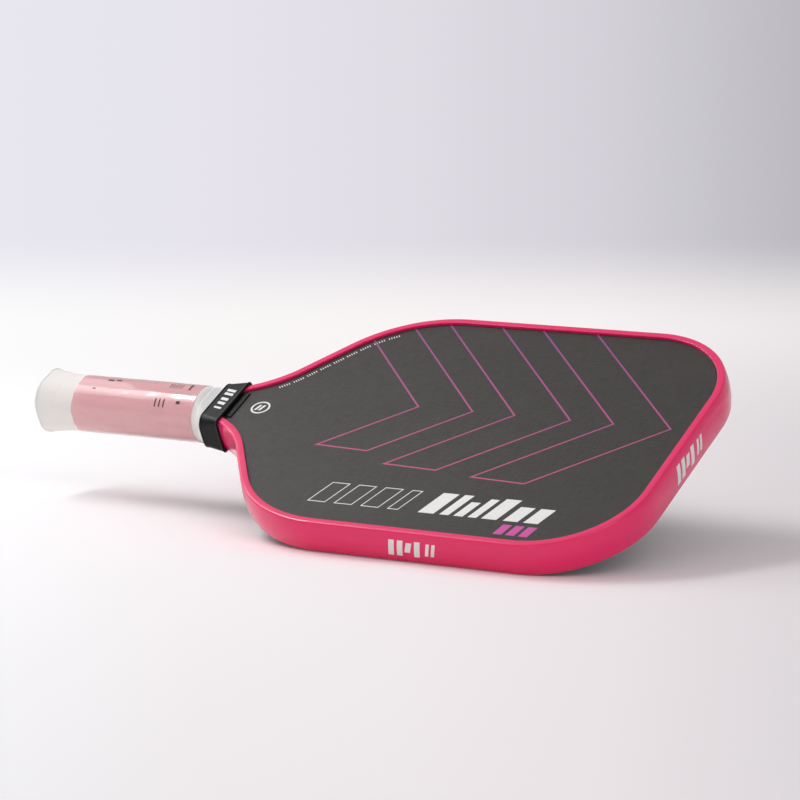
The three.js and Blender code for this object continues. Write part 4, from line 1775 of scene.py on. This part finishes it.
@dataclass
class Studio:
    """The pale floor that the tilted paddle rests on, the soft lamps and the camera.

    The floor's two rows of colours run from its left to its right over twice the spread. Both
    rows darken to the right and the far row is darker still: painted shade. The depths are where
    its far colours, and its own painted glow in place of the lamps' light, set in. The air's
    strengths are those to the right and to the left, and its turns say how far to the right a
    direction points where each is reached.
    """

    tilt: float = math.radians(26.55)
    floor_gap: float = 0.2 * MM
    floor_reach: float = 14.0
    camera_azimuth: float = math.radians(35.42)
    camera_elevation: float = math.radians(31.21)
    camera_roll: float = math.radians(-15.19)
    camera_distance: float = 2.190
    aim: tuple[float, float, float] = (0.0194, 0.0194, 0.0075)
    lens: float = 178.6
    sensor: float = 36.0
    air_colour: Colour = srgb(246, 243, 247)
    air: tuple[float, float] = (0.48, 0.62)
    air_turns: tuple[float, float] = (0.7, -0.9)
    spread: float = 0.1
    least_depth: float = 0.4
    colour_depths: tuple[float, float] = (2.95, 3.6)
    backdrop_depths: tuple[float, float] = (2.35, 2.95)
    # Near floor colours, left to right; their darkening to the right is painted shade.
    near_colours: tuple[tuple[int, int, int], ...] = (
        (252, 252, 252), (250, 247, 247), (249, 245, 245), (246, 241, 242), (235, 231, 232),
    )
    # Far floor colours, left to right, shown as a painted glow; their darkening to the right and below the
    # near row is painted shade.
    far_colours: tuple[tuple[int, int, int], ...] = (
        (232, 231, 239), (230, 227, 236), (224, 221, 229), (212, 209, 217), (189, 187, 193),
    )
    lamps: tuple[Softbox, ...] = (
        Softbox("key_softbox", (-0.56, 0.20, 0.86), 1.5, (-0.5, -0.86, 0.0), (0.52, 1.1), 3.6),
        Softbox("key_core", (-0.57, 0.19, 0.86), 1.48, (-0.5, -0.86, 0.0), (0.13, 1.0), 4.6),
        Softbox("side_softbox", (-0.76, 0.40, 0.52), 1.5, (-0.3, -0.5, 0.8), (0.22, 0.50), 2.4),
        Softbox("back_softbox", (-0.62, 0.55, 0.77), 1.1, (0.0, 1.0, -0.75), (0.40, 0.80), 1.1),
        Softbox("front_fill", (0.35, -0.75, 0.56), 2.0, (0.9, 0.4, 0.0), (1.1, 1.1), 7.2),
    )

    def up(self) -> Vector:
        """The floor's normal in the paddle's frame."""
        return Vector((0.0, math.sin(self.tilt), math.cos(self.tilt)))

    def camera_back(self) -> Vector:
        """Unit direction from the paddle to the camera."""
        a, e = self.camera_azimuth, self.camera_elevation
        return Vector((math.sin(a) * math.cos(e), -math.cos(a) * math.cos(e), math.sin(e)))

    def camera(self) -> None:
        """Places the camera: its own axes are the back direction and a level pair turned by the roll."""
        data = bpy.data.cameras.new("camera")
        data.lens = self.lens
        data.sensor_width = self.sensor
        camera = bpy.data.objects.new("camera", data)
        bpy.context.scene.collection.objects.link(camera)
        back = self.camera_back()
        level = Vector((math.cos(self.camera_azimuth), math.sin(self.camera_azimuth), 0.0))
        over = back.cross(level)
        right = level * math.cos(self.camera_roll) + over * math.sin(self.camera_roll)
        turned = back.cross(right)
        camera.matrix_world = Matrix((right, turned, back)).transposed().to_4x4()
        camera.location = Vector(self.aim) + back * self.camera_distance
        bpy.context.scene.camera = camera

    def floor_axes(self, contact: Vector) -> tuple[Vector, Vector, Vector]:
        """Directions of the floor as the camera stands over it.

        Args:
            contact: a point of the floor.

        Returns:
            The floor's point under the camera, its level forward direction and its right.
        """
        up = self.up()
        back = self.camera_back()
        place = Vector(self.aim) + back * self.camera_distance
        foot = place - up * (place - contact).dot(up)
        forward = (up * back.dot(up) - back).normalized()
        return foot, forward, forward.cross(up)

    def colour_band(self, surface: Surface, share: bpy.types.NodeSocket,
                    stops: tuple[tuple[int, int, int], ...]) -> bpy.types.NodeSocket:
        """Adds a colour ramp with evenly spaced stops.

        Args:
            surface: the material.
            share: socket that runs from 0 to 1.
            stops: display colours of the stops.

        Returns:
            The colour's socket.
        """
        ramp = surface.add("ValToRGB")
        band = ramp.color_ramp.elements
        for place in np.linspace(0, 1, len(stops))[1:-1]:
            band.new(float(place))
        for stop, colour in zip(band, stops):
            stop.color = srgb(*colour)
        surface.join(share, ramp.inputs[0])
        return ramp.outputs[0]

    def floor_material(self, foot: Vector, forward: Vector, right: Vector) -> bpy.types.Material:
        """Pale floor paint with painted shade: it darkens to lilac grey far off and to the right.

        Each place has a depth, its distance along the forward direction from the foot point, and a
        spread, its distance to the right over that depth. Two ramps over the spread give the near
        and the far colours, and the depth blends them. Far off, the floor glows with these colours
        for camera, glossy and transmission rays, a painted light. The back of the floor is see-through.

        Args:
            foot: point of the floor that depths start from.
            forward: level direction of depth.
            right: level direction of spread.

        Returns:
            The material.
        """
        surface = Surface("floor paint")
        shift = surface.add("VectorMath", operation="SUBTRACT")
        surface.join(surface.coordinates, shift.inputs[0])
        shift.inputs[1].default_value = foot
        depth = surface.math("MAXIMUM", surface.dot(shift.outputs[0], forward), self.least_depth)
        spread = surface.math("DIVIDE", surface.dot(shift.outputs[0], right), depth)
        share = surface.ramp(spread, -self.spread, self.spread)
        # Both colour rows carry painted shade, darker to the right and far off.
        colours = [self.colour_band(surface, share, stops) for stops in (self.near_colours, self.far_colours)]
        far, behind = (surface.ramp(depth, *depths) for depths in (self.colour_depths, self.backdrop_depths))
        for blend in (far, behind):
            blend.node.interpolation_type = "SMOOTHSTEP"
        paint = surface.mix(far, *colours)
        surface.set("Base Color", paint)
        surface.set("Roughness", 0.9)
        surface.set("Specular IOR Level", 0.1)
        rays = surface.add("LightPath")
        seen = surface.math("MAXIMUM", rays.outputs["Is Camera Ray"], rays.outputs["Is Glossy Ray"])
        seen = surface.math("MAXIMUM", seen, rays.outputs["Is Transmission Ray"])
        # Painted glow: far off, the floor shows its shaded colours as light of its own.
        backdrop = surface.add("Emission")
        surface.join(paint, backdrop.inputs["Color"])
        clear = surface.add("BsdfTransparent")
        below = surface.add("NewGeometry").outputs["Backfacing"]
        shown = surface.shader.outputs[0]
        for factor, other in ((surface.math("MULTIPLY", behind, seen), backdrop), (below, clear)):
            choose = surface.add("MixShader")
            surface.join(factor, choose.inputs[0])
            surface.join(shown, choose.inputs[1])
            surface.join(other.outputs[0], choose.inputs[2])
            shown = choose.outputs[0]
        surface.join(shown, surface.tree.nodes["Material Output"].inputs["Surface"])
        return surface.material

    def floor(self, lowest: float) -> None:
        """Lays the floor plane at a height along its own normal, touching the paddle.

        Args:
            lowest: the paddle's lowest place along the floor's normal.
        """
        up = self.up()
        contact = up * (lowest - self.floor_gap)
        across = Vector((1.0, 0.0, 0.0))
        ahead = up.cross(across)
        step = np.linspace(-self.floor_reach, self.floor_reach, 3)
        x, y = np.meshgrid(step, step, indexing="ij")
        points = np.array(contact) + x[..., None] * np.array(across) + y[..., None] * np.array(ahead)
        floor = make_piece("floor", points, [grid_faces(3, 3, False, False)[:, ::-1]], smooth=False)
        foot, forward, right = self.floor_axes(contact)
        floor.data.materials.append(self.floor_material(foot, forward, right))
        floor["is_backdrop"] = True

    def light(self) -> None:
        """Pale surroundings, brighter on the handle's side, and the lamps."""
        world = bpy.data.worlds.new("studio air")
        world.use_nodes = True
        air = Shader(world.node_tree)
        glow = world.node_tree.nodes["Background"]
        glow.inputs["Color"].default_value = self.air_colour
        _, forward, right = self.floor_axes(Vector((0.0, 0.0, 0.0)))
        side = air.dot(air.add("TexCoord").outputs["Generated"], right)
        air.join(air.ramp(side, *self.air_turns, *self.air), glow.inputs["Strength"])
        bpy.context.scene.world = world
        floor_frame = Matrix((right, forward, self.up())).transposed()
        for lamp in self.lamps:
            lamp.build(floor_frame)

    def build(self, lowest: float) -> None:
        """Makes the camera, the floor and the lamps.

        Args:
            lowest: the paddle's lowest place along the floor's normal.
        """
        self.camera()
        self.floor(lowest)
        self.light()
        bpy.context.scene.view_settings.view_transform = "Standard"


# ---- Everything together -----------------------------------------------------------------


def lowest_along(direction: Vector) -> float:
    """The paddle's lowest place along a direction, over all its shown pieces.

    Args:
        direction: unit direction.

    Returns:
        The least dot product of the direction with a point.
    """
    least = math.inf
    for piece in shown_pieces():
        points = np.empty(len(piece.data.vertices) * 3)
        piece.data.vertices.foreach_get("co", points)
        least = min(least, float((points.reshape(-1, 3) @ np.array(direction)).min()))
    return least


def main() -> None:
    """Builds and dresses every sub-assembly, then the studio."""
    logging.basicConfig(level=logging.INFO, format="%(message)s")
    outline = PanelOutline()
    sizes = HandleSizes()
    Panel().dress(frame["nodes"])
    guard = EdgeGuard(outline)
    guard.build()
    guard.wall_bars()
    prints = FacePrints(outline)
    prints.line_art()
    prints.white_marks()
    prints.small_bars()
    butt = ButtEnd(sizes)
    butt.cap()
    butt.badge()
    CushionGrip(sizes).build()
    FinishingTape(sizes).build()
    collar = RubberCollar(sizes)
    collar.build()
    collar.bars()
    film = FilmSleeve(sizes)
    film.build()
    film.prints()
    studio = Studio()
    studio.build(lowest_along(studio.up()))


if __name__ == "__main__":
    main()
